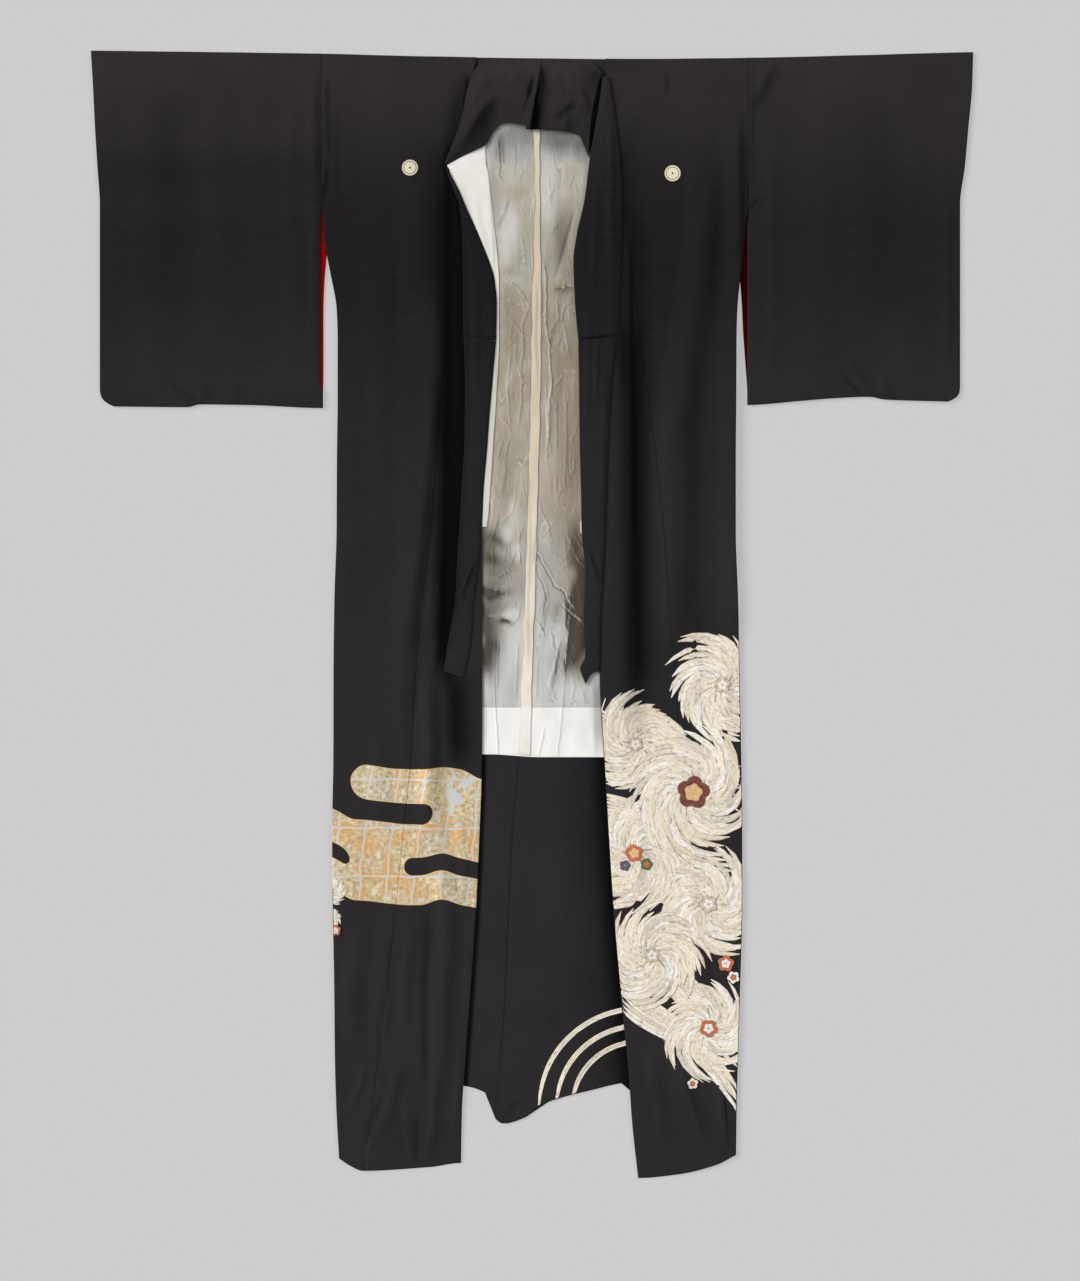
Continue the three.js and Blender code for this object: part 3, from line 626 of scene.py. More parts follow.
silks = {  # tones by Y in metres, from the hem up
    "red": [(-1, (0.36, 0.002, 0.003)), (1, (0.36, 0.002, 0.003))],
    "white": [(-0.2, (0.84, 0.83, 0.80)), (0.0, (0.80, 0.78, 0.72)), (0.3, (0.60, 0.58, 0.52)),
              (0.56, (0.80, 0.785, 0.73))],
    "cream": [(-0.2, (0.85, 0.83, 0.77)), (-0.137, (0.85, 0.82, 0.76)), (-0.13, (0.79, 0.74, 0.66)),
              (0.05, (0.73, 0.66, 0.55)), (0.3, (0.62, 0.52, 0.39)), (0.56, (0.60, 0.51, 0.38)),
              (0.7, (0.64, 0.58, 0.46))],
}


def plainSilk(name, tones, shadeColour, mottle=0.5, gloss=0.3):
    finish = Finish(name, specular=gloss, sheen=0.3 * gloss)
    cloud = finish.noise(16, 4)
    tone = finish.ramp(finish.axis("Y"), tones)
    tone = finish.tint(tone, cloud, 0.4, 0.75, mottle, shadeColour)
    slub = finish.noise(1.0, 2, finish.stretched(900, 60))
    tone = finish.tint(tone, slub, 0.5, 0.8, 0.3, shadeColour)
    tone = finish.mix(finish.attribute("deep"), tone, tuple(c * 0.12 for c in shadeColour))
    weave = weaveScale(threads["lining"])
    height = finish.wave(weave, "X", 0.5) + finish.wave(weave, "Y", 0.5) + finish.noise(700, 2)
    finish.set("Base Color", tone)
    finish.set("Roughness", 0.6 + cloud * 0.1)
    finish.bump(height, 0.0001, 0.6)
    return finish.material


thinSilk = {  # up from the white band to the neck
    "tones": [(-0.135, (0.54, 0.54, 0.520)), (-0.07, (0.50, 0.50, 0.475)), (-0.01, (0.44, 0.425, 0.395)),
              (0.09, (0.37, 0.342, 0.292)), (0.18, (0.38, 0.342, 0.270)), (0.33, (0.315, 0.278, 0.207)),
              (0.46, (0.30, 0.267, 0.205)), (0.56, (0.365, 0.342, 0.280)), (0.652, (0.43, 0.402, 0.335)),
              (0.664, (0.36, 0.36, 0.345)), (0.735, (0.275, 0.28, 0.27))],
}


def thinLining(name):
    # thin silk over dark cloth: it looks greyer where it lies close and paler where it stands off
    finish = Finish(name, roughness=0.62, specular=0.3, sheen=0.1)
    y = finish.axis("Y")
    tone = finish.ramp(y, thinSilk["tones"])
    cloud = finish.noise(13, 5, None, 0.6)
    streak = finish.noise(1.0, 3, finish.stretched(85, 7))
    tone = finish.tint(tone, cloud, 0.46, 0.68, 0.35, (0.60, 0.59, 0.55))
    tone = finish.tint(tone, cloud, 0.50, 0.32, 0.30, (0.27, 0.245, 0.20))
    tone = finish.tint(tone, streak, 0.5, 0.72, 0.18, (0.26, 0.24, 0.20))
    # painted light and shade of fine crinkles, as darker and paler streaks
    crinkle = finish.noise(1.0, 3, finish.stretched(230, 16))
    tone = finish.tint(tone, crinkle, 0.52, 0.72, 0.15, (0.22, 0.20, 0.16))
    tone = finish.tint(tone, crinkle, 0.46, 0.28, 0.15, (0.66, 0.64, 0.58))
    tone = finish.tint(tone, streak, 0.46, 0.30, 0.15, (0.60, 0.58, 0.53))
    broad = finish.step(finish.noise(21, 2), 0.44, 0.60)
    # painted highlights and shade along wandering creases
    for scales, width, share in (((30, 6), 0.007, 0.50), ((64, 17), 0.011, 0.30)):
        fold = finish.noise(1.0, 1.6, finish.stretched(*scales)) - 0.5
        lit = finish.step(finish.maths("ABSOLUTE", fold - width), width, 0.2 * width)
        tone = finish.mix(lit * broad * share, tone, (0.66, 0.635, 0.56))
        shaded = finish.step(finish.maths("ABSOLUTE", fold + 1.3 * width), 1.6 * width, 0.2 * width)
        tone = finish.mix(shaded * broad * share, tone, (0.175, 0.155, 0.12))
    tone = finish.mix(finish.attribute("warm") * 0.6, tone, (0.33, 0.255, 0.165))
    tone = finish.mix(finish.attribute("pale") * 0.75, tone, (0.66, 0.66, 0.635))
    # painted shade, with the dark cloth showing through, comes in by the deep share, and painted highlights
    # along creases by the glint share
    tone = finish.mix(finish.attribute("deep"), tone, (0.048, 0.039, 0.026))
    tone = finish.mix(finish.attribute("glint") * 0.85, tone, (0.80, 0.785, 0.72))
    slub = finish.noise(1.0, 2, finish.stretched(800, 50))
    tone = finish.tint(tone, slub, 0.5, 0.8, 0.12, (0.6, 0.58, 0.54))
    finish.set("Base Color", tone)
    finish.bump(finish.wave(weaveScale(threads["lining"]), "X", 0.5) + finish.noise(700, 2), 0.0001, 0.6)
    return finish.material


def facesOf(under):
    return [under, under + layers["cloth"]]


def stack(xs, ys, zs):
    return np.stack([np.stack([x, y, z], axis=-1) for x, y, z in zip(xs, ys, zs)])


def frontDeep(x, y, side):
    toSeam = np.abs(x - bodyLine[side + "Seam"](y))
    seam = np.where(y > lengths["overlapTopRight"], 0, 0.12 * np.exp(-toSeam / 1.6))
    return strokes(x, y, frontShade, "flat") + strokes(x, y, softShade) + seam


def overlapTop(side):
    return {"r": lengths["overlapTopRight"], "l": lengths["overlapTopLeft"]}[side]


def bodyPanel(name, side, sign, frontCount, backCount, step):
    half = sign * layers["gap"] / 2
    top = overlapTop(side)
    down = rowsDown(lengths["shoulder"] - lengths["fold"], lengths["hem"], step)
    rows = np.concatenate([[lengths["shoulder"], lengths["shoulder"] - 1], down, [top + 0.1, top - 0.4]])
    rows = np.sort(rows)[::-1]
    outer = bodyLine[side + "Side"](rows) - half
    tucked = np.where(rows > top, 10 * smooth((700 - rows) / 60), 0)
    seam = bodyLine[side + "Seam"](rows) + half - sign * tucked
    middle = bodyLine["mid"](rows) + half
    joined = outer - sign * lengths["fold"]
    frontShare = np.concatenate([np.linspace(0, 1, frontCount)[:-1], [0.995, 1]])
    backShare = spread(backCount, 0.004)[1:]
    x = np.concatenate([outer[:, None], outer[:, None] - sign * 1.0,
                        joined[:, None] + frontShare * (seam - joined)[:, None],
                        seam[:, None] + backShare * (middle - seam)[:, None]], axis=1)
    y = np.repeat(rows[:, None], x.shape[1], axis=1)
    frontCells = len(frontShare) + 1
    filled = np.zeros((3, len(rows) - 1, x.shape[1] - 1), bool)
    filled[0] = True
    filled[2, :, :frontCells] = True
    filled[1, :2, :frontCells] = True
    filled[1, rows[:-1] <= lengths["sideOpeningEnd"], :2] = True
    ys = [shapedY(x, y, backHemAt)] * 2 + [shapedY(x, y, frontHemAt)] * 2
    place = stack([x] * 4, ys, facesOf(0 * x) + facesOf(frontUnder(x, ys[2])))
    if sign > 0:
        place, filled = place[:, :, ::-1], filled[:, :, ::-1]
    return clothPiece(name, place, filled, deep=frontDeep(place[..., 0], place[..., 1], side))


def overlap(name, side, sign, count, step):
    rows = rowsDown(overlapTop(side), lengths["hem"], step)
    seam = bodyLine[side + "Seam"](rows) - sign * layers["gap"] / 2
    edge = bodyLine[side + "Edge"](rows)
    tucked = 10 * smooth((rows - 170) / 60)  # the edge is caught in the collar
    edge = edge - sign * tucked
    x = seam[:, None] + spread(count, 0.008) * (edge - seam)[:, None]
    y = shapedY(x, np.repeat(rows[:, None], x.shape[1], axis=1), frontHemAt)
    place = stack([x, x], [y, y], facesOf(frontUnder(x, y)))
    if sign > 0:
        place = place[:, :, ::-1]
    return clothPiece(name, place, deep=frontDeep(place[..., 0], place[..., 1], side))


sleeveColumns = ("y", "right", "left")
sleeveRows = [
    (809, -640, 640), (761, -637, 638.5), (703, -634, 633), (650, -630.5, 628), (594, -627, 621),
    (500, -627, 621), (326, -627, 621), (314, -624.5, 619.5), (306, -617, 613), (301, -607, 604),
]
sleeveHem = [(-607, 302), (-500, 301), (-482, 305), (-409, 304), (-305, 299.7), (314, 304), (390, 310),
             (440, 314), (490, 316), (512, 312), (604, 309)]
sleeveSeam = {"right": -304.7, "left": 314.9}
sleeveShow = {"y": (594, 575, 551, 529, 500, 485, 468, 442, 413, 377, 340, 320, 300),
              "right": (0, 2, 5, 6.9, 4.8, 3.6, 2.8, 2, 2, 2, 1.8, 1.4, 1.4),
              "left": (0, 6, 9, 11.5, 13, 12.8, 11.7, 9.9, 8.7, 6.2, 3.6, 2.5, 2.5)}


def sleeveEdge(y, side):
    # how far the front's inner edge lies from the seam line, below the armhole
    if side == "left":
        return -2.6 * smooth((590 - y) / 30)
    return -2.4 * smooth((590 - y) / 16) * smooth((y - 326) / 8) + 1.4 * smooth((334 - y) / 10)


sleeveShade = [
    (-700, 648, -250, 640, 60, 60, 0.22, 0), (311, 586, 333, 607, 4.5, 4, 0.75, 0),
    (-309, 590, -324, 618, 2.5, 3, 0.35, 0), (-311, 800, -308, 600, 9, 5, 0.4, 1),
    (-548, 346, -470, 302, 5, 5, 0.3, 1), (-520, 790, -530, 420, 60, 50, 0.16, 6),
    (319, 800, 318, 600, 5, 9, 0.4, 1), (360, 806, 320, 730, 5, 12, 0.35, 1),
    (442, 356, 490, 306, 6, 5, 0.4, 1), (500, 780, 520, 420, 60, 60, 0.16, 6),
]
sleeveFolds = [
    (317, 590, 343, 613, 5, 4, 2.2, 0), (-308, 593, -322, 620, 4, 5, 2.2, 0),
    (-560, 790, -548, 330, 40, 44, 1.6, 4), (-450, 800, -462, 320, 34, 40, 1.8, 5),
    (-352, 780, -344, 400, 24, 20, 1.6, 3), (-318, 800, -316, 330, 7, 8, 1.4, 1),
    (-486, 345, -470, 298, 10, 12, 2.2, 1), (-428, 342, -440, 296, 9, 10, 1.6, 1),
    (350, 806, 312, 728, 12, 14, 3.0, 1), (346, 700, 352, 330, 14, 18, 1.8, 2),
    (430, 790, 420, 320, 36, 40, 1.8, 4), (540, 800, 556, 330, 40, 38, 1.6, 5),
    (452, 372, 496, 306, 8, 9, 2.6, 1), (505, 350, 520, 306, 9, 9, 2.0, 1),
    (600, 700, 604, 330, 10, 9, 1.2, 2),
]
sleeveHemAt = curveThrough(*zip(*sleeveHem))


def sleevePanel(name, side, sign, count, step):
    outerAt = curveThrough(columnOf(sleeveRows, sleeveColumns, "y"),
                           columnOf(sleeveRows, sleeveColumns, side))
    showAt = curveThrough(sleeveShow["y"], sleeveShow[side])
    hem = lengths["sleeveHem"]
    down = rowsDown(lengths["shoulder"] - lengths["fold"], hem + 3, step)
    rows = np.concatenate([[lengths["shoulder"], lengths["shoulder"] - 1], down, [hem + 1, hem]])
    outer = outerAt(rows)
    seam = sleeveSeam[side] + sign * layers["gap"] / 2
    share = np.concatenate([np.linspace(0, 1, count)[:-1], [0.998, 1]])
    joined = outer - sign * lengths["fold"]
    x = np.concatenate([outer[:, None], outer[:, None] - sign * 1.0,
                        joined[:, None] + share * (seam - joined)[:, None]], axis=1)
    y = np.repeat(rows[:, None], x.shape[1], axis=1)
    toHem = np.clip((lengths["sleeveHemStart"] - y) / (lengths["sleeveHemStart"] - hem), 0, 1)
    y = shapedY(x, y, frontHemAt) + toHem * (sleeveHemAt(x) - hem)
    bySeam = np.clip(share * 12 - 11, 0, 1)
    showing = np.where(rows > lengths["armholeEnd"], 0, showAt(rows))[:, None] * bySeam
    backX, frontX = x.copy(), x.copy()
    backX[:, 2:] -= sign * showing
    frontX[:, 2:] += sleeveEdge(rows, side)[:, None] * bySeam
    under = layers["sleeveFloor"] + strokes(x, y, sleeveFolds)
    under = under + np.maximum(ripple(x, y, 8 + sign, (70, 210), 1.6), -0.8)
    nearEdge = np.clip(np.abs(x - outer[:, None]) / 26, 0, 1) * np.clip((y - (hem + 1)) / 22, 0, 1)
    under = layers["sleeveRim"] + (under - layers["sleeveRim"]) * smooth(nearEdge * 0.9 + 0.1)
    place = stack([backX, backX, frontX, frontX], [y] * 4, facesOf(0 * x) + facesOf(under))
    filled = np.zeros((3, len(rows) - 1, x.shape[1] - 1), bool)
    filled[0] = filled[2] = True
    filled[1, :2] = filled[1, -2:] = True
    filled[1, rows[:-1] <= lengths["armholeEnd"], :2] = True
    if sign > 0:
        place, filled = place[:, :, ::-1], filled[:, :, ::-1]
    return clothPiece(name, place, filled, deep=strokes(place[..., 0], place[..., 1], sleeveShade))


def flatStrip(name, rows, west, east, floors, wall, count, relief=None, **looks):
    # a strip between two lines; floors are its underside at the west and east
    share = spread(count, 0.012)
    x = west[:, None] + share * (east - west)[:, None]
    y = np.repeat(rows[:, None], x.shape[1], axis=1)
    under = floors[0][:, None] + share * (floors[1] - floors[0])[:, None]
    if relief is not None:
        under = under + relief(x, y)
    place = stack([x, x], [y, y], [under, under + wall])
    looks = {look: value(place[..., 0], place[..., 1]) for look, value in looks.items()}
    return clothPiece(name, place, **looks)


sleeveLinings = {"top": 590, "bottom": 316, "tuck": 24, "shade": {"r": 0.1, "l": 0.92}}


def sleeveLining(name, side, sign):
    suffix = {"r": "right", "l": "left"}[side]
    count, step = fineness["sleeveLining"]
    rows = rowsDown(sleeveLinings["top"], sleeveLinings["bottom"], step)
    showAt = curveThrough(sleeveShow["y"], sleeveShow[suffix])
    seam = sleeveSeam[suffix] + sign * layers["gap"] / 2
    shown = seam - sign * (showAt(rows) - 0.5)
    tucked = 0 * rows + seam + sign * sleeveLinings["tuck"]
    lines = (tucked, shown) if sign < 0 else (shown, tucked)
    floor = 0 * rows + layers["liningFloor"]
    return flatStrip(name, rows, *lines, (floor, floor), layers["lining"], count,
                     deep=lambda x, y: sleeveLinings["shade"][side])


liningOpen = {  # how far the linings show, between the fronts
    "y": (735, 700, 660, 600, 543, 475, 398, 311, 253, 195, 127, 60, -40, -207),
    "west": (-60, -66, -66, -61, -54, -48, -47, -50, -54, -58, -66, -72, -72, -72),
    "east": (80, 82, 83, 76, 64, 60, 66, 68, 69, 71, 71, 76, 78, 100),
}
liningCreases = [
    (2.0, 3.4, [(16, 512), (20, 493), (20, 456), (20, 420), (25, 391), (26, 362), (29, 333), (25, 311),
        (25, 268), (23, 244)]), (1.6, 3.0, [(20, 336), (23, 268), (21, 222)]),
    (1.8, 2.6, [(35, 458), (39, 431), (28, 413), (26, 388)]),
    (1.0, 3.0, [(41, 442), (49, 406), (55, 368)]), (1.7, 2.6, [(-46, 491), (-20, 474), (-4, 449)]),
    (0.8, 2.4, [(14, 448), (-25, 451), (-47, 453)]),
    (1.7, 3.0, [(-3, 449), (-15, 420), (-12, 391), (-17, 353)]), (1.0, 3.0, [(-29, 427), (-32, 390)]),
    (1.3, 2.4, [(-4, 343), (-17, 333)]), (1.5, 3.0, [(-16, 340), (-15, 311), (-20, 273)]),
    (1.5, 4.0, [(-50, 690), (-47, 655), (-49, 636), (-42, 625)]),
    (0.8, 3.4, [(-32, 605), (-40, 582), (-52, 558)]), (1.4, 2.4, [(-12, 648), (-20, 627)]),
    (1.5, 3.0, [(62, 478), (28, 471)]), (1.4, 2.6, [(62, 457), (43, 444)]),
    (1.1, 2.4, [(67, 353), (44, 352)]), (1.5, 2.6, [(46, 350), (32, 328)]),
    (1.4, 2.8, [(35, 312), (36, 238)]), (1.2, 3.0, [(-51, 290), (-38, 279), (-28, 258)]),
    (1.5, 2.4, [(-33, 257), (-39, 229)]), (1.2, 2.4, [(-17, 215), (-32, 224)]),
    (1.0, 3.0, [(-38, 224), (-41, 180)]), (1.5, 2.4, [(9, 160), (23, 130), (30, 100)]),
    (3.4, 4.2, [(62, 6), (51, 21), (50, 28), (45, 35), (32, 43), (26, 57), (17, 71), (13, 83),
        (3, 95)]), (3.2, 3.4, [(75, -16), (64, -3), (57, 1), (49, 8), (41, 20)]),
    (1.8, 2.2, [(50, 30), (55, 39)]), (1.8, 2.4, [(54, 38), (56, 4)]),
    (2.0, 5.0, [(23, -34), (15, -15), (17, 1), (22, 20), (20, 36), (10, 59), (6, 78)]),
    (1.6, 3.6, [(26, -22), (30, -37), (30, -47), (36, -53), (36, -60), (32, -78), (26, -98),
        (25, -112)]), (1.6, 3.4, [(41, -35), (35, -73), (27, -112)]),
    (2.2, 3.0, [(55, 2), (53, -22), (50, -56), (47, -86)]), (1.4, 2.6, [(46, -8), (51, -38)]),
    (1.2, 2.6, [(48, -81), (45, -124), (41, -168), (36, -207)]),
    (1.4, 2.6, [(19, -162), (13, -189), (9, -207)]),
    (1.3, 2.6, [(-55, -82), (-54, -124), (-51, -168), (-49, -207)]),
    (0.7, 3.4, [(-37, 30), (-54, 36), (-72, 37)]), (0.9, 3.4, [(-27, -12), (-46, -1), (-70, -5)]),
    (0.8, 3.0, [(-35, 22), (-49, 0)]), (1.2, 3.0, [(-28, 66), (-52, 53)]),
    (1.0, 3.0, [(-49, -36), (-51, -110)]), (1.0, 3.0, [(34, 206), (36, 160)]),
    (0.9, 4.0, [(48, 330), (50, 250), (46, 180)]), (0.9, 4.0, [(-30, 390), (-36, 330), (-32, 270)]),
    (0.8, 3.0, [(-58, 100), (-56, 60)]), (0.9, 3.0, [(60, 640), (54, 620)]),
    (1.0, 3.0, [(62, 628), (66, 606)]), (0.8, 3.0, [(24, 640), (26, 600)]),
    (0.9, 3.0, [(46, 118), (52, 60)]), (0.9, 3.0, [(8, -60), (6, -128)]),
    (0.8, 3.0, [(-20, -40), (-24, -120)]), (0.8, 3.4, [(72, -110), (78, -130)]),
    *crumples(4, 34, -56, -10, 60, 470), *crumples(7, 40, 18, 66, 60, 500),
    *crumples(9, 14, -50, 60, -110, 60), *crumples(12, 12, -46, 68, 520, 690),
]
liningFolds = [
    (64, 604, 28, 478, 30, 4, 2.4, 0), (-40, 560, -30, 470, 16, 16, 1.6, 2),
    (40, 560, 44, 470, 14, 14, 1.4, 2),
]
liningShade = [(66, 612, 27, 470, 30, 3, 0.34, 0), (96, -70, 102, -215, 14, 20, 0.5, 0)]
# darker patches: the first four are the painted shadow of the fallen collar across the top of the lining,
# the rest softer patches lower down
liningDark = [
    (-47, 676, 9, 26, 0.50), (-22, 698, 48, 24, 0.34), (44, 690, 42, 25, 0.62), (72, 672, 14, 22, 0.4),
    (-58, 600, 8, 60, 0.2), (44, 530, 14, 46, 0.15), (50, 472, 20, 8, 0.3), (48, 420, 30, 90, 0.14),
    (46, 560, 24, 60, 0.12), (-58, 500, 12, 60, 0.2), (-20, 30, 26, 40, 0.12), (29, 36, 22, 66, 0.12),
    (40, -72, 20, 34, 0.25), (58, 200, 18, 90, 0.22), (50, 300, 30, 200, 0.20),
    (-36, 400, 26, 70, 0.12), (-42, 210, 22, 60, 0.2), (-69, -150, 6, 60, 0.25),
    (-68, 200, 8, 100, 0.25), (58, 640, 12, 24, 0.15), (40, 110, 30, 60, 0.15),
]
liningShowThroughAndShade = [  # where the dark cloth beneath shows through, and painted shade along folds; most have one hard side
    (-76, 84, -14, 62, 16, 16, 0.2, 1), (-50, -2, -26, -15, 9, 3, 0.55, 0),
    (-52, -20, -52, -90, 4, 5, 0.25, 1), (62, 60, 60, -20, 10, 14, 0.30, 1),
    (-33, 606, -41, 580, 3, 3, 0.42, 0), (-40, 584, -53, 557, 3, 3, 0.45, 0),
    (48, 10, 46, -80, 8, 6, 0.22, 1), (22, 40, 14, -30, 3, 5, 0.25, 1),
    (36, -50, 28, -108, 4, 6, 0.22, 1), (-66, 130, -30, 84, 12, 10, 0.3, 2),
    (66, 150, 58, 60, 16, 10, 0.3, 1), (40, 60, 46, 10, 6, 10, 0.2, 0),
]
liningZones = [  # broad darker zones; the first and third are painted shade along folds
    (-100, 41, -20, 28, 14, 12, 0.70, 1), (-70, 70, -66, -116, 8, 38, 0.98, 1),
    (-56, -3, -20, -14, 10, 3, 0.45, 0), (84, 160, 80, -20, 44, 10, 0.86, 1),
    (74, 100, 66, -108, 24, 30, 0.8, 1), (53, 44, 48, -112, 2.5, 40, 0.9, 0),
    (40, 24, 36, -20, 12, 12, 0.32, 1),
]
liningBlots = [
    (-64, 100, 27, 36, 0.74), (-46, 74, 32, 20, 0.30), (-58, 54, 26, 18, 0.45), (-62, -60, 14, 30, 0.2),
    (-38, 13, 17, 12, 0.28), (-24, 40, 16, 30, 0.14),
]
liningPale = [
    (-34, 562, 17, 48, 0.75), (-24, 640, 20, 26, 0.3), (22, 620, 15, 62, 0.5), (76, 560, 9, 52, 0.45),
    (-38, 116, 10, 16, 0.6), (-22, 92, 12, 17, 0.6), (-26, 140, 12, 34, 0.45), (-56, 50, 18, 4, 0.25),
    (-29, 2, 12, 12, 0.4), (-24, -10, 20, 50, 0.4), (-36, -70, 20, 40, 0.4), (12, 20, 8, 60, 0.4),
    (24, 112, 12, 34, 0.3), (60, -118, 13, 24, 0.5), (-30, 486, 16, 9, 0.4), (24, 290, 5, 50, 0.6),
    (-34, 340, 7, 26, 0.35), (46, 398, 8, 26, 0.3), (6, -110, 16, 20, 0.3), (38, -20, 8, 30, 0.3),
]
# the first two are a painted highlight along a lit ridge; the others are pale lines beside the centre tape
liningPaleLinesAndHighlight = [
    (36, -30, 35, -60, 2.4, 2.4, 0.9, 1), (35, -52, 25, -106, 2.4, 2.4, 0.9, 1),
    (-3, 180, -22, -200, 1.6, 1.6, 0.6, 0), (2, 640, 2, 560, 1.6, 1.6, 0.5, 0),
]
liningWarm = [
    (-22, 612, 24, 13, 0.55), (-12, 600, 14, 44, 0.4), (48, 474, 20, 9, 0.9), (50, 320, 32, 170, 0.7),
    (-30, 330, 28, 130, 0.5), (60, 60, 18, 64, 0.8), (66, -50, 16, 54, 1.0), (-62, 66, 16, 50, 0.7),
    (-10, 440, 24, 40, 0.3), (46, 160, 32, 80, 0.6), (-64, -40, 14, 46, 0.8), (48, 560, 24, 80, 0.3),
]


def darkZonesAndFoldShade(x, y):
    # painted shade along folds among broad darker zones; their outlines wander
    wanderX = x + 2.6 * np.sin(y / 13 + 1) + 0.9 * np.sin(y / 5 + x / 11)
    wanderY = y + 3.4 * np.sin(x / 12) + 1.2 * np.sin(x / 5 + y / 17)
    return strokes(wanderX, wanderY, liningZones) + blots(wanderX, wanderY, liningBlots)


def slitShade(x, y):
    # beside the neck the lining lies out of the light, behind the fallen collar
    return smooth((x - 66 - 0.38 * (705 - y)) / 3) * smooth((y - 655) / 4)


def liningRelief(x, y):
    west, east = (curveThrough(liningOpen["y"], liningOpen[key])(y) for key in ("west", "east"))
    showing = smooth(np.minimum(x - west, east - x) / 9)
    creased = creases(x, y, liningCreases, "ridge") + strokes(x, y, liningFolds)
    creased = creased + ripple(x, y, 5, (14, 60), 0.9) + 0.7
    return 0.12 + showing * np.maximum(creased, 0)


# deep is painted shade with where the dark cloth shows through; pale holds a painted highlight on one
# ridge; glint is painted highlights along creases
liningLooks = {
    "deep": lambda x, y: (strokes(x, y, liningShade, "flat") + blots(x, y, liningDark)
                          + strokes(x, y, liningShowThroughAndShade) + darkZonesAndFoldShade(x, y)
                          + creases(x, y, liningCreases, "shade") + slitShade(x, y)),
    "pale": lambda x, y: blots(x, y, liningPale) + strokes(x, y, liningPaleLinesAndHighlight),
    "glint": lambda x, y: creases(x, y, liningCreases, "lit"),
    "warm": lambda x, y: blots(x, y, liningWarm),
}


hemShade = [(18, -560, 40, -640, 20, 20, 0.12, 2), (-20, -700, -44, -735, 8, 8, 0.3, 0)]


def hemDeep(x, y):
    # the fronts throw the hem lining beside them into shade, and the seam up its middle shows
    west, east, middle = (bodyLine[key](y) for key in ("rEdge", "lEdge", "mid"))
    edges = 0.95 * smooth((west + 9 - x) / 5) + 0.6 * smooth((x - east + 30) / 32)
    edges = edges + 0.45 * smooth((x - east + 90) / 90)
    return edges + 0.2 * smooth(1 - np.abs(x - middle) / 2.5) + strokes(x, y, hemShade)


def backLining(name, side, sign, top, bottom, count, step, relief, looks):
    rows = rowsDown(top, bottom, step)
    edge = bodyLine[side + "Edge"](rows) + sign * lengths["liningTuck"]
    middle = bodyLine["mid"](rows) + sign * layers["gap"] / 2 + lengths["liningShift"]
    lines = (edge, middle) if sign < 0 else (middle, edge)
    share = spread(count, 0.01)
    x = lines[0][:, None] + share * (lines[1] - lines[0])[:, None]
    y = shapedY(x, np.repeat(rows[:, None], x.shape[1], axis=1), backHemAt)
    y = y + 4 * smooth((10 - x) / 70) * smooth(1 - np.abs(y - lengths["hemLiningTop"]) / 60)
    y = y - 70 * smooth((x - 60) / 30) * smooth((y - 600) / 135)  # its top stays behind the fallen collar
    under = layers["liningFloor"] + relief(x, y)
    place = stack([x, x], [y, y], [under, under + layers["lining"]])
    looks = {look: value(x, y) for look, value in looks.items()}
    return clothPiece(name, place, **looks)


# The pattern is curled chrysanthemums over running water, with plum blossoms, in raised strands of silk.
dyes = {
    "strand": [
        (0.82, 0.73, 0.58), (0.86, 0.79, 0.66), (0.76, 0.67, 0.52), (0.87, 0.84, 0.77), (0.84, 0.75, 0.60),
        (0.68, 0.63, 0.54), (0.85, 0.77, 0.63),
    ],
    "darkRed": (0.150, 0.012, 0.016), "gold": (0.72, 0.47, 0.22), "orange": (0.56, 0.13, 0.04),
    "green": (0.05, 0.14, 0.05), "purple": (0.10, 0.05, 0.15), "white": (0.86, 0.84, 0.80),
    "buff": (0.62, 0.53, 0.40),
}
waters = [  # level at x 200, slope, height, wave length, phase, strands, start and end
    (-196, -0.50, 14, 200, 1.3, 8, 100, 306), (-262, 0.40, 12, 180, 0.2, 7, 150, 306),
    (-330, -0.55, 11, 170, 2.2, 9, 104, 306), (-452, 0.50, 13, 200, 0.9, 9, 112, 306),
    (-532, -0.75, 13, 230, 2.9, 9, 120, 306), (-600, -0.95, 11, 200, 0.4, 8, 136, 306),
    (-392, -0.3, 13, 190, 3.6, 6, 104, 250),
]
strandForm = {"spacing": 6.4, "sunk": 0.14, "bulge": 0.3}
fullTurn = 6.2832
bloomTable = [  # middle, reach, curl, phase and layer
    (276, -102, 84, 1.2, 0.3, 0), (150, -188, 74, -1.3, 0.9, 0), (234, -258, 96, 1.4, 0.4, 1),
    (148, -346, 84, -1.2, 0.1, 0), (256, -420, 80, 1.3, 0.2, 0), (174, -494, 80, -1.3, 0.7, 1),
    (256, -600, 72, 1.2, 0.3, 0),
]
rings = [  # share of the bloom's reach, petals and their width
    (1.0, 38, 10.0), (0.80, 30, 9.5), (0.60, 23, 9.0), (0.40, 16, 8.0), (0.24, 11, 6.0),
]
blossomTable = [  # middle, size, turn, outer and inner dye
    (234, -258, 24, 0.2, "darkRed", "gold"), (150, -188, 11, 0.9, "buff", "white"),
    (148, -346, 13, 0.5, "orange", "gold"), (166, -362, 9, 1.3, "green", "orange"),
    (135, -364, 8, 0.1, "purple", "green"), (256, -420, 13, 0.7, "buff", "white"),
    (276, -102, 12, 0.3, "buff", "white"), (256, -600, 13, 1.0, "orange", "white"),
    (281, -506, 12, 0.2, "orange", "white"), (292, -526, 9, 0.8, "white", "orange"),
    (174, -494, 12, 0.4, "buff", "white"), (233, -680, 8, 0.4, "white", "orange"),
]
edgeBlooms = [(-292, -402, 24, 1.0, 0.2, 0), (-293, -440, 17, -1.0, 0.5, 0)]
edgeBlossom = (-285, -458, 8, 0.4, "orange", "white")
hemArcs = {"middle": (160, -722), "radii": (100, 123, 148), "turns": (3.30, 1.70), "strands": 3}


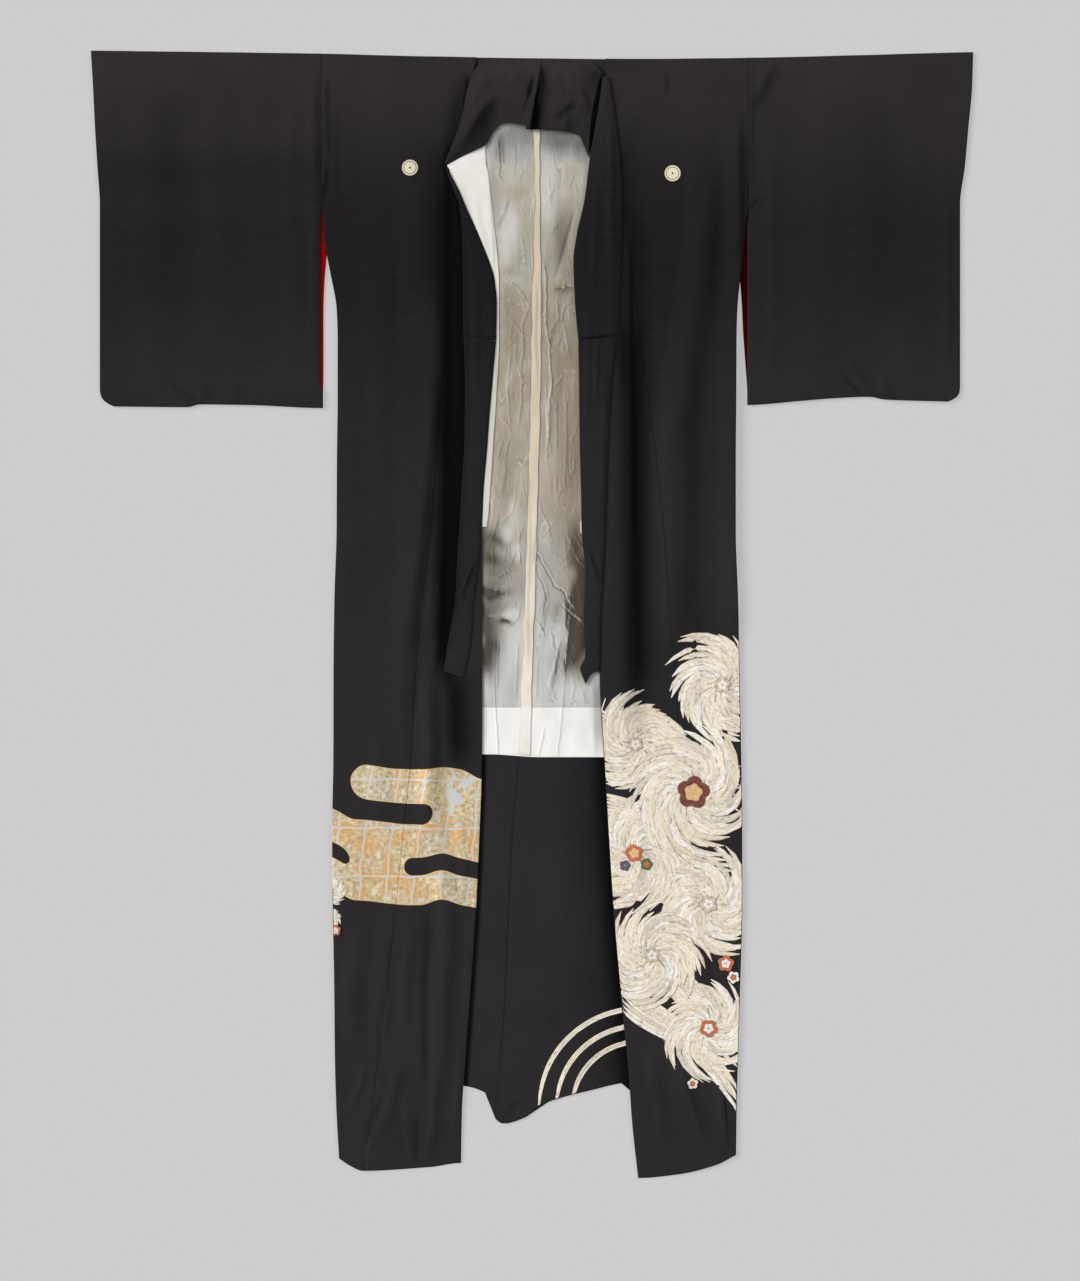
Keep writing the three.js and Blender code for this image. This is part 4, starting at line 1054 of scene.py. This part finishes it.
def strip(x, y, half, lift, dye, seed):
    # a raised strip along a line; across is measured to the left of its way
    tx, ty = np.gradient(x), np.gradient(y)
    length = np.hypot(tx, ty)
    across = np.array([-1, 0, 1]) * half[:, None]
    along = np.concatenate([[0], np.cumsum(np.hypot(np.diff(x), np.diff(y)))])
    return {"x": x[:, None] - ty[:, None] / length[:, None] * across,
            "y": y[:, None] + tx[:, None] / length[:, None] * across,
            "lift": lift, "across": across, "along": along[:, None] + 0 * across + seed * 400,
            "dye": np.asarray(dye, float) * np.ones((len(x), 3))}


def strandDye(chance):
    return dyes["strand"][chance.integers(len(dyes["strand"]))]


def waterStrips(chance):
    strips = []
    for row in waters:
        level, slope, height, waveLength, phase, count, start, end = row
        for k in range(count):
            x = np.linspace(start - chance.uniform(0, 16), end - chance.uniform(0, 26) * (k % 3), 30)
            offset = (k - count / 2) * strandForm["spacing"] * (1 + 0.25 * np.sin(x / 60 + phase))
            y = level + slope * (x - 200) + height * np.sin(fullTurn * x / waveLength + phase) + offset
            t = np.linspace(0, 1, len(x))
            half = 0.47 * strandForm["spacing"] * smooth(t * 9 + 0.1) * smooth((1 - t) * 9 + 0.1)
            strips.append(strip(x, y, half, 0.3 + 0.05 * (k % 2), strandDye(chance), chance.random()))
    return strips


def bloomStrips(chance, cx, cy, reach, curl, phase, layer, steps=11):
    strips = []
    for ring, (share, count, wide) in enumerate(rings):
        for k in range(count):
            tip = reach * share * chance.uniform(0.76, 1.10)
            t = np.linspace(0, 1, steps)
            r = 0.09 * reach + t * (tip - 0.09 * reach)
            hook = chance.uniform(0.0, 0.35) * smooth((t - 0.5) / 0.5)
            angle = fullTurn * (k + 0.5 * ring + phase) / count + curl * ((r / reach) ** 1.4 + hook)
            half = np.minimum(wide * reach / 140 * chance.uniform(0.8, 1.1), 3.0 * r / count)
            half = half * np.sqrt(1 - 0.99 * t ** 4)
            dye = np.asarray(strandDye(chance)) * (0.55 + 0.45 * smooth(0.25 + t * 1.3))[:, None]
            strips.append(strip(cx + r * np.cos(angle), cy + r * np.sin(angle), half,
                                0.45 + 0.5 * layer + 0.13 * ring, dye, chance.random()))
    return strips


def blossomStrips(cx, cy, size, turn, outer, inner, lift=1.9):
    strips = []
    for share, dye, step in ((1.0, outer, 0), (0.60, inner, 0.12)):
        for k in range(5):
            t = np.linspace(0, 1, 9)
            r, angle = size * share * (0.08 + 0.92 * t), turn + fullTurn * k / 5
            half = 0.50 * size * share * np.sin(3.1416 * np.clip(0.06 + 0.90 * t, 0, 1)) ** 0.6
            half = half * (0.45 + 0.55 * smooth(t * 1.8))
            strips.append(strip(cx + r * np.cos(angle), cy + r * np.sin(angle), half,
                                lift + step + 0.03 * (k % 2), dyes[dye], 0))
    t = np.linspace(-1, 1, 9)
    half = 0.16 * size * np.sqrt(1 - 0.97 * t ** 2)
    strips.append(strip(cx + 0.16 * size * t, cy + 0 * t, half, lift + 0.3, dyes["gold"], 0))
    return strips


def arcStrips(chance):
    cx, cy = hemArcs["middle"]
    strips = []
    for radius in hemArcs["radii"]:
        for k in range(hemArcs["strands"]):
            angle = np.linspace(hemArcs["turns"][0] - chance.uniform(0, 0.1), hemArcs["turns"][1], 26)
            t = np.linspace(0, 1, len(angle))
            r = radius + 2.5 * k * (0.35 + 0.65 * smooth(t * 2)) + 6 * t * (1 - t)
            half = 1.2 * smooth(t * 3 + 0.1) + 0 * r
            strips.append(strip(cx + r * np.cos(angle), cy + r * np.sin(angle), half, 0.25,
                                strandDye(chance), chance.random()))
    return strips


def patternPiece(name, strips, surface, hold):
    # surface gives the cloth's height, and hold brings what lies past the cloth's edge back to it
    points, quads, looks, total = [], [], {"across": [], "along": [], "rim": [], "dye": []}, 0
    for row in strips:
        x, y = hold(row["x"], row["y"])
        past = (np.abs(x - row["x"]) + np.abs(y - row["y"])) > 1e-6
        kept = ~allOf(meeting(past))
        if not kept.any():
            continue
        height = surface(x, y) + row["lift"]
        bulge = np.array([0, strandForm["bulge"], 0])
        place = stack([x, x], [y, y], [height - strandForm["sunk"], height + bulge])
        own, faces, used = cells(place, kept[None])
        points.append(own)
        quads.append(faces + total)
        total += len(own)
        grid = {"across": row["across"], "along": row["along"], "rim": np.array([1.0, 0, 1.0]) + 0 * x}
        for key, values in grid.items():
            looks[key].append(np.stack([values, values]).reshape(-1)[used])
        # painted shade: the strands' dye is darkened where the front's folds lie in shade
        lightLeft = 1 - 0.7 * np.clip(strokes(x, y, softShade), 0, 1)
        dye = row["dye"][None, :, None, :] * lightLeft[None, :, :, None]
        looks["dye"].append((dye * np.ones((2, 1, 3, 1))).reshape(-1, 3)[used])
    mesh = bpy.data.meshes.new(name)
    mesh.from_pydata(np.concatenate(points).tolist(), [], np.concatenate(quads).tolist())
    for key, values in looks.items():
        keepAttribute(mesh, key, np.concatenate(values))
    piece = bpy.data.objects.new(name, mesh)
    bpy.context.collection.objects.link(piece)
    return piece


def patternSilk(name):
    finish = Finish(name, roughness=0.6, specular=0.2, sheen=0.03)
    place = finish.node("ShaderNodeCombineXYZ", {},
                        {0: finish.attribute("along") * 0.05, 1: finish.attribute("across")})
    broad, fine = finish.noise(0.55, 2, place), finish.noise(2.2, 2, place)
    # the dye attribute also carries painted shade from the folds beneath
    tone = finish.attribute("dye", "Color")
    rim = finish.attribute("rim")
    tone = finish.tint(tone, broad, 0.50, 0.38, 0.30, (0.40, 0.35, 0.26))
    tone = finish.tint(tone, fine, 0.52, 0.64, 0.45, (0.34, 0.27, 0.18))
    tone = finish.tint(tone, fine + broad * 0.4, 0.82, 0.87, 0.9, (0.02, 0.018, 0.017))
    tone = finish.tint(tone, rim, 0.66, 1.0, 0.8, (0.13, 0.105, 0.08))
    finish.set("Base Color", tone)
    finish.bump(fine, 0.0002, 0.6)
    return finish.material


def holdLeft(x, y):
    y = np.maximum(y, frontHemAt(x) + 1)
    return np.clip(x, bodyLine["lEdge"](y) + 0.8, bodyLine["lSide"](y) - 1.0), y


def holdRight(x, y):
    return np.maximum(x, bodyLine["rSide"](y) + 1.0), y


def holdHem(x, y):
    y = np.maximum(y, backHemAt(x) + 1.5)
    return np.clip(x, bodyLine["rEdge"](y) + 1, bodyLine["lEdge"](y) - 1), y


def frontTopAt(x, y):
    return frontUnder(x, y) + layers["cloth"]


def hemRelief(x, y):
    return 0.15 + ripple(x, y, 6, (50, 150), 0.3)


def hemTopAt(x, y):
    return layers["liningFloor"] + hemRelief(x, y) + layers["lining"]


# a strip's outer edge and its inner edge, and how high each of them lies
collarColumns = ("ox", "oy", "ix", "iy", "lift", "sit")
overCollarRight = [
    (-126, 650, -123.5, 648.5, 7.4, 7.2), (-120, 631, -114, 631, 7.4, 7.0),
    (-114, 616, -106, 616, 7.6, 6.8), (-105, 590, -95, 590, 7.8, 6.5), (-101, 543, -74, 543, 9, 5.4),
    (-100, 485, -54, 485, 10, 4.8), (-100, 449, -51, 449, 10, 4.8), (-99, 404, -52, 397, 10, 4.8),
]
collarRight = [
    (-99, 403.7, -52, 396.7, 10, 4.8), (-97, 340, -57, 340, 10, 4.8), (-97, 282, -62, 282, 10, 4.8),
    (-98, 239, -65, 239, 10, 4.8), (-102, 181, -70, 181, 10.5, 5), (-104, 137, -72, 137, 11, 5.2),
    (-108, 82, -75, 82, 11, 5.2), (-111, 21, -83, 21, 11, 5.2), (-121, -37, -87, -37, 9, 5.2),
    (-128, -82, -98, -93, 6, 5.2),
]
overCollarLeft = [
    (112, 779, 102.5, 779, 6, 6), (118, 747, 98, 747, 6, 8), (124, 703, 91, 703, 6, 9),
    (129, 660, 83.5, 660, 7, 8), (131, 602, 76, 602, 8, 6), (131, 552, 65, 552, 8, 5),
    (130, 512, 60, 512, 8, 4.6), (128, 456, 62, 456, 8, 4.6), (125, 404, 67, 397, 8, 4.6),
]
collarLeft = [
    (125, 404.1, 67, 397.1, 8, 4.6), (117, 340, 68, 340, 8.5, 4.6), (112, 253, 69, 253, 8.5, 4.6),
    (109, 181, 71, 181, 8.5, 4.8), (107, 121, 72, 121, 8.5, 5), (104, 60, 77, 60, 8, 5),
    (100, -11, 75, -11, 7, 5), (99, -59, 77, -59, 6, 5), (98.5, -74, 70, -78, 5.4, 5),
    (98, -83, 78, -102, 5.2, 5),
]
collarCreases = [  # small folds on the collar strips
    (-80, 84, -106, 18, 3, 5, 1.8, 0), (-84, 520, -80, 300, 10, 10, 1.4, 1),
    (96, 420, 90, 300, 5, 6, 1.8, 1), (84, 470, 78, 250, 7, 7, 1.4, 1),
    (106, 350, 103, 120, 5, 6, 1.0, 1), (80, 100, 98, 42, 4, 6, 2.0, 0),
    (112, 740, 116, 420, 6, 7, 1.6, 1), (92, 640, 88, 450, 6, 8, 1.6, 1),
]
collarShade = [
    (-79, 86, -107, 16, 2, 4, 0.8, 0), (-104, 240, -122, -60, 3, 3, 0.3, 0),
    (80, 100, 98, 42, 3, 4, 0.6, 0), (64, 397.5, 128, 404.5, 1.2, 1.2, 0.8, 0),
    (119, 700, 124, 480, 3, 3, 0.35, 0), (70, 90, 78, -20, 4, 4, 0.3, 0),
]


def collarStrip(name, table, sign, bent=0):
    count, step = fineness["collar"]
    along = np.arange(len(table), dtype=float)
    length = sum(abs(a[1] - b[1]) for a, b in zip(table, table[1:]))
    s = (len(table) - 1) * spread(int(length / step), 0.6 / length)
    ox, oy, ix, iy, lift, sit = (curveThrough(along, columnOf(table, collarColumns, c))(s)[:, None]
                                 for c in collarColumns)
    share = spread(count, 0.02)
    ease = curveThrough([0, 0.15, 0.4, 0.75, 1], [1, 0.55, 0.22, 0.05, 0])(share)
    x = ox + share * (ix - ox)
    y = oy + share ** (1 + bent * smooth(s[:, None] - len(table) + 2)) * (iy - oy)
    under = sit + ease * (lift - sit) + 1.4 * np.sin(np.pi * share) + strokes(x, y, collarCreases)
    if sign > 0:  # its outer edge lies flat on the front
        onFront = smooth(1 - share / 0.3) * smooth((680 - y) / 60)
        under = under + onFront * (frontUnder(x, y) + layers["cloth"] + 0.2 - under)
    thin = 1.3 * smooth((share - 0.88) / 0.12) if sign < 0 else 1.7 * smooth(1 - share / 0.07)
    place = stack([x, x], [y, y], [under, under + layers["collar"] - thin])
    if sign > 0:
        place = place[:, :, ::-1]
    return clothPiece(name, place, deep=0.07 + strokes(place[..., 0], place[..., 1], collarShade))


# Behind the neck the over-collar has fallen forward in pleats. A row is a pleat line, from where it starts
# down to where it falls, with the height it starts from and how far it lifts.
pleatColumns = ("sx", "sy", "fx", "fy", "base", "lift")
neckPleats = [
    (-127, 655, -123.5, 651.5, 6.4, 1), (-113, 689, -99, 665, 6.2, 3), (-101, 725, -80, 674, 6, 5),
    (-95, 758, -67, 681, 5.6, 8), (-83, 790, -54, 702, 5.2, 9), (-64, 803, -39, 713, 5.2, 8),
    (-29, 807, -15, 710, 2.2, 10), (3, 807, -7, 704.5, 1.8, 14), (14, 807, -1.5, 703, 1.8, 15),
    (11, 806, -9, 703, 1.8, 5), (24, 807, 13, 703, 1.8, 4), (44, 806, 44, 701, 1.8, 9),
    (70, 805, 68, 694, 1.8, 12), (90, 800, 75, 681, 5.2, 9), (101, 787, 82.5, 662, 5.2, 7),
]
neckCreases = [
    (-49, 760, -114, 672, 14, 10, 4.5, 1), (-53, 760, -8, 726, 12, 14, 3.5, 1),
    (-62, 742, -66, 700, 20, 18, -3.0, 0), (4, 785, -7, 740, 6, 7, -3.0, 0),
    (-2, 780, -16, 722, 5, 5, 3.0, 0), (26, 790, 46, 740, 16, 16, 2.4, 0),
    (70, 744, 28, 712, 8, 12, -3.5, 0), (60, 772, 86, 728, 9, 9, 3.5, 0),
    (52, 792, 62, 750, 12, 10, 2.0, 0), (-20, 796, -30, 760, 12, 12, 2.0, 0),
    (76, 722, 74, 686, 8, 8, 2.0, 0),
]
neckShade = [
    (12, 784, -6, 690, 1.2, 5, 1.0, 0), (7, 764, -10, 640, 1.5, 16, 1.0, 0),
]
# softer painted shade in the pleats and beside the fallen collar
neckSoftShade = [
    (99, 790, 80, 650, 3, 6, 0.5, 0), (-6, 776, -18, 724, 4, 3, 0.4, 0),
    (-70, 728, -96, 670, 14, 16, 0.25, 0), (-8, 800, -6, 740, 8, 4, 0.2, 0),
    (4, 787, -7, 740, 5, 6, 0.5, 0), (70, 744, 28, 712, 6, 9, 0.45, 0),
    (-56, 750, -72, 690, 22, 20, 0.28, 0), (86, 790, 100, 770, 10, 10, 0.4, 0),
    (14, 800, 24, 740, 8, 16, 0.25, 0), (-90, 790, -126, 655, 4, 5, 0.3, 0),
]


def neckPart(name):
    across, down = fineness["neck"]
    along = np.arange(len(neckPleats), dtype=float)
    s = (len(neckPleats) - 1) * spread(across, 0.003)
    sx, sy, fx, fy, base, lift = (curveThrough(along, columnOf(neckPleats, pleatColumns, c))(s)[None, :]
                                  for c in pleatColumns)
    t = spread(down, 0.008)[:, None]
    x = sx + t * (fx - sx) - 5 * np.sin(np.pi * t) * smooth(s - len(neckPleats) + 2.4)
    y = sy + t * (fy - sy)
    flat = base + smooth(t * 6) * np.maximum(0, 5.2 - base)
    pressed = smooth((t - 0.55) / 0.45) * np.maximum(smooth((-36 - fx) / 12), smooth((fx - 46) / 14))
    under = flat + lift * smooth(t * 3) * (1 - 0.25 * t) * (1 - 0.85 * pressed)
    under = under + 0.5 * smooth(t * 3) * np.sin(x / 9 + y / 14)
    under = under + smooth(t * 4) * smooth((1 - t) * 5 + 0.4) * strokes(x, y, neckCreases)
    place = stack([x, x], [y, y], [under, under + 2.0 - 0.9 * pressed])
    deep = strokes(place[..., 0], place[..., 1], neckShade, "flat")
    deep = deep + strokes(place[..., 0], place[..., 1], neckSoftShade)
    return clothPiece(name, place, deep=deep)


collarLiningRight = {
    "y": (690, 680, 672, 662, 654, 645, 636, 616, 602, 588, 566, 543, 508, 487, 475, 398, 311, 253, 195,
          159, 127),
    "west": (-75, -92, -108, -120, -124, -120, -118, -109, -104, -98, -89, -79, -68, -64, -62, -59,
             -67.3, -69.5, -71, -72, -72),
    "east": (-68.5, -68, -67.5, -67, -66.6, -64.2, -63, -60.5, -58.8, -57.2, -55, -52.3, -49.3, -48,
             -48, -48, -52, -56, -59.5, -62, -65.5),
}
collarLiningLeft = {"y": (135, 118), "west": (69.5, 70), "east": (80, 80)}
tapeRows = {"y": (740, 700, 689, 640, 600, 560, 500, 456, 311, 166, 21, -52, -124, -204),
            "mid": (7, 6.5, 6.5, 8, 8, 7.5, 7.5, 7, 5, 1.5, -3, -6, -8.5, -10),
            "wide": (11, 10, 8.5, 6.5, 6.5, 8, 10, 13.5, 13.5, 12.5, 14, 14, 15, 15)}
tapeShade = [
    (6, 510, 8, 300, 3, 3, 0.35, 1), (-2, 200, -6, -100, 3, 3, 0.25, 1), (14, 500, 15, 300, 3, 4, 0.4, 1),
    (4, 712, 18, 712, 12, 10, 0.6, 0), (6, 140, 4, 60, 4, 4, 0.25, 1),
]
whiteShade = [
    (-62, 690, -54, 470, 3, 4, 0.35, 1), (-50, 480, -52, 230, 3, 3, 0.25, 1),
    (-80, 620, -62, 500, 6, 6, 0.14, 2), (-104, 640, -84, 560, 5, 5, 0.10, 1),
    (-57, 240, -64, 120, 3, 3, 0.2, 0),
]


def collarLining(name, table, count, step):
    rows = rowsDown(table["y"][0], table["y"][-1], step)
    west, east = (curveThrough(table["y"], table[key])(rows) for key in ("west", "east"))
    westFloor = 4.5 + 1.2 * smooth((rows - 510) / 60) + 0.9 * smooth((rows - 590) / 30)
    eastFloor = 0 * rows + layers["tapeFloor"]
    return flatStrip(name, rows, west, east, (westFloor, eastFloor), layers["lining"], count,
                     deep=lambda x, y: strokes(x, y, whiteShade))


def centreTape(name):
    count, step = fineness["tape"]
    rows = rowsDown(tapeRows["y"][0], tapeRows["y"][-1], step)
    mid, wide = (curveThrough(tapeRows["y"], tapeRows[key])(rows) for key in ("mid", "wide"))
    ragged = 0.5 * np.sin(rows / 13) + 0.4 * np.sin(rows / 7.3 + 1)
    floor = 0 * rows + layers["tapeFloor"]
    return flatStrip(name, rows, mid - wide / 2 + ragged, mid + wide / 2 + ragged * 0.7, (floor, floor),
                     layers["lining"], count, lambda x, y: 0.05 + liningRelief(x, y),
                     deep=lambda x, y: strokes(x, y, tapeShade))


print("finishing the black silk")
black = blackCloth("blackSilk")
sleeveBlack = blackCloth("blackSilkSleeve", tones="sleeveTones")
rightFront = blackCloth("blackSilkRightFront", crests["places"]["body_right"], "mist")
leftFront = blackCloth("blackSilkLeftFront", crests["places"]["body_left"])
print("raising the pattern")
chance = np.random.default_rng(21)
leftStrips = waterStrips(chance)
for row in bloomTable:
    leftStrips += bloomStrips(chance, *row)
for row in blossomTable:
    leftStrips += blossomStrips(*row)
rightStrips = [one for row in edgeBlooms for one in bloomStrips(chance, *row)] + blossomStrips(*edgeBlossom)
raised = patternSilk("raisedSilk")
patterns = (
    ("leftFlowers", leftStrips, frontTopAt, holdLeft),
    ("rightFlower", rightStrips, frontTopAt, holdRight),
    ("hemStrands", arcStrips(chance), hemTopAt, holdHem),
)
for name, strips, surface, hold in patterns:
    piece = patternPiece(name, strips, surface, hold)
    shade(piece)
    piece.data.materials.append(raised)
    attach(piece, "root")
print("laying the panels")
dress(bodyPanel("bodyRight", "r", -1, *fineness["body"]), rightFront, (0.29, 3.14, 0.64),
      nodes=["body_right"])
dress(bodyPanel("bodyLeft", "l", 1, *fineness["body"]), leftFront, (0.31, 3.14, 0.66),
      nodes=["body_left"])
dress(overlap("okumiRight", "r", -1, *fineness["okumiRight"]), rightFront,
      (0.15, 1.36, 0.12), ["okumi_right"])
dress(overlap("okumiLeft", "l", 1, *fineness["okumiLeft"]), leftFront,
      (0.15, 1.41, 0.14), ["okumi_left"])
dress(sleevePanel("sleeveRight", "right", -1, *fineness["sleeve"]), sleeveBlack,
      (0.33, 1.03, 0.335), nodes=["sleeve_right"])
dress(sleevePanel("sleeveLeft", "left", 1, *fineness["sleeve"]), sleeveBlack,
      (0.32, 1.02, 0.31), nodes=["sleeve_left"])

print("building the linings")
red = plainSilk("redSilk", silks["red"], (0.24, 0.001, 0.002), mottle=0.4, gloss=0.0)
white = plainSilk("whiteSilk", silks["white"], (0.72, 0.70, 0.64))
cream = plainSilk("creamSilk", silks["cream"], (0.56, 0.46, 0.33))
thin = thinLining("thinSilk")
for side, sign, suffix in (("r", -1, "Right"), ("l", 1, "Left")):
    low = suffix.lower()
    count, step = fineness["lining" + suffix]
    dress(sleeveLining("sleeveLining" + suffix, side, sign), red, (0.034, 0.28, 0.0082),
          ["sleeve_lining_" + low])
    cuts = {"r": ((0.111, 0.87, 0.0836), (0.072, 0.072, 0.0050), (0.07, 0.53, 0.0312)),
            "l": ((0.13, 0.87, 0.1114), (0.135, 0.072, 0.0096), (0.225, 0.53, 0.0864))}[side]
    upper = backLining("backLining" + suffix, side, sign, lengths["liningTop"], lengths["bandTop"],
                       count, step, liningRelief, liningLooks)
    dress(upper, thin, cuts[0], ["back_lining_" + low])
    band = backLining("liningBand" + suffix, side, sign, lengths["bandTop"], lengths["hemLiningTop"],
                      count, fineness["bandStep"], liningRelief, liningLooks)
    dress(band, white, cuts[1], ["lining_band_" + low])
    lower = backLining("hemLining" + suffix, side, sign, lengths["hemLiningTop"], lengths["hem"],
                       *fineness["hemLining"], hemRelief, {"deep": hemDeep})
    dress(lower, black, cuts[2], ["hem_lining_" + low])
dress(centreTape("centreTape"), cream, (0.018, 0.944, 0.016),
      ["centre_tape"])

print("building the collar")
dress(neckPart("overCollarBack"), black, (0.25, 0.12, 0.023),
      ["over_collar_back"])
dress(collarStrip("overCollarRight", overCollarRight, -1), black, (0.055, 0.25, 0.008),
      ["over_collar_right"])
dress(collarStrip("overCollarLeft", overCollarLeft, 1), black, (0.068, 0.38, 0.019),
      ["over_collar_left"])
dress(collarStrip("collarRight", collarRight, -1), black, (0.047, 0.49, 0.017),
      ["collar_right"])
dress(collarStrip("collarLeft", collarLeft, 1, 2), black, (0.058, 0.49, 0.018),
      ["collar_left"])
rightLining = collarLining("collarLiningRight", collarLiningRight, *fineness["collarLiningRight"])
dress(rightLining, white, (0.05, 0.545, 0.0105),
      ["collar_lining_right"])
leftLining = collarLining("collarLiningLeft", collarLiningLeft, *fineness["collarLiningLeft"])
dress(leftLining, white, (0.0105, 0.017, 0.00017),
      ["collar_lining_left"])

stageSetup = {
    "floor": (0.19, 0.19, 0.19), "floorSize": 14, "floorLevel": -0.0005, "glow": 0.405,
    "height": 4.65, "lens": 90.0, "aim": (0.0116, -0.0377),
}
lightSetup = {  # where each soft light stands, its power and how soft it is; sky comes from all round
    "keyLight": ((-2.6, 1.0, 2.0), 3.4, 0.6), "fillLight": ((2.6, 0.4, 2.4), 0.8, 0.9), "sky": 0.28,
}
print("laying the floor, lights and camera")
bpy.ops.mesh.primitive_plane_add(size=stageSetup["floorSize"], location=(0, 0, stageSetup["floorLevel"]))
floor = bpy.context.active_object
floor.name = "floor"
paper = Finish("floorPaper", 0.9, 0.1)
paper.set("Base Color", paper.mix(paper.noise(3, 2) * 0.02, stageSetup["floor"], (0.18, 0.18, 0.18)))
# painted light: the floor glows, so it stays evenly pale and the shadows on it are faint
paper.set("Emission Color", (1, 1, 1, 1))
paper.set("Emission Strength", stageSetup["glow"])
floor.data.materials.append(paper.material)

for name in ("keyLight", "fillLight"):
    place, power, spreadAngle = lightSetup[name]
    bpy.ops.object.light_add(type="SUN", location=place)
    lamp = bpy.context.active_object
    lamp.name = name
    lamp.data.energy, lamp.data.angle = power, spreadAngle
    lamp.rotation_euler = (-lamp.location).to_track_quat("-Z", "Y").to_euler()
world = bpy.data.worlds.new("studio")
bpy.context.scene.world = world
world.use_nodes = True
world.node_tree.nodes["Background"].inputs["Color"].default_value = (1, 1, 1, 1)
world.node_tree.nodes["Background"].inputs["Strength"].default_value = lightSetup["sky"]
bpy.context.scene.view_settings.view_transform = "Standard"

camera = bpy.data.objects.new("camera", bpy.data.cameras.new("camera"))
bpy.context.collection.objects.link(camera)
camera.location = (*stageSetup["aim"], stageSetup["height"])
camera.data.lens = stageSetup["lens"]
bpy.context.scene.camera = camera
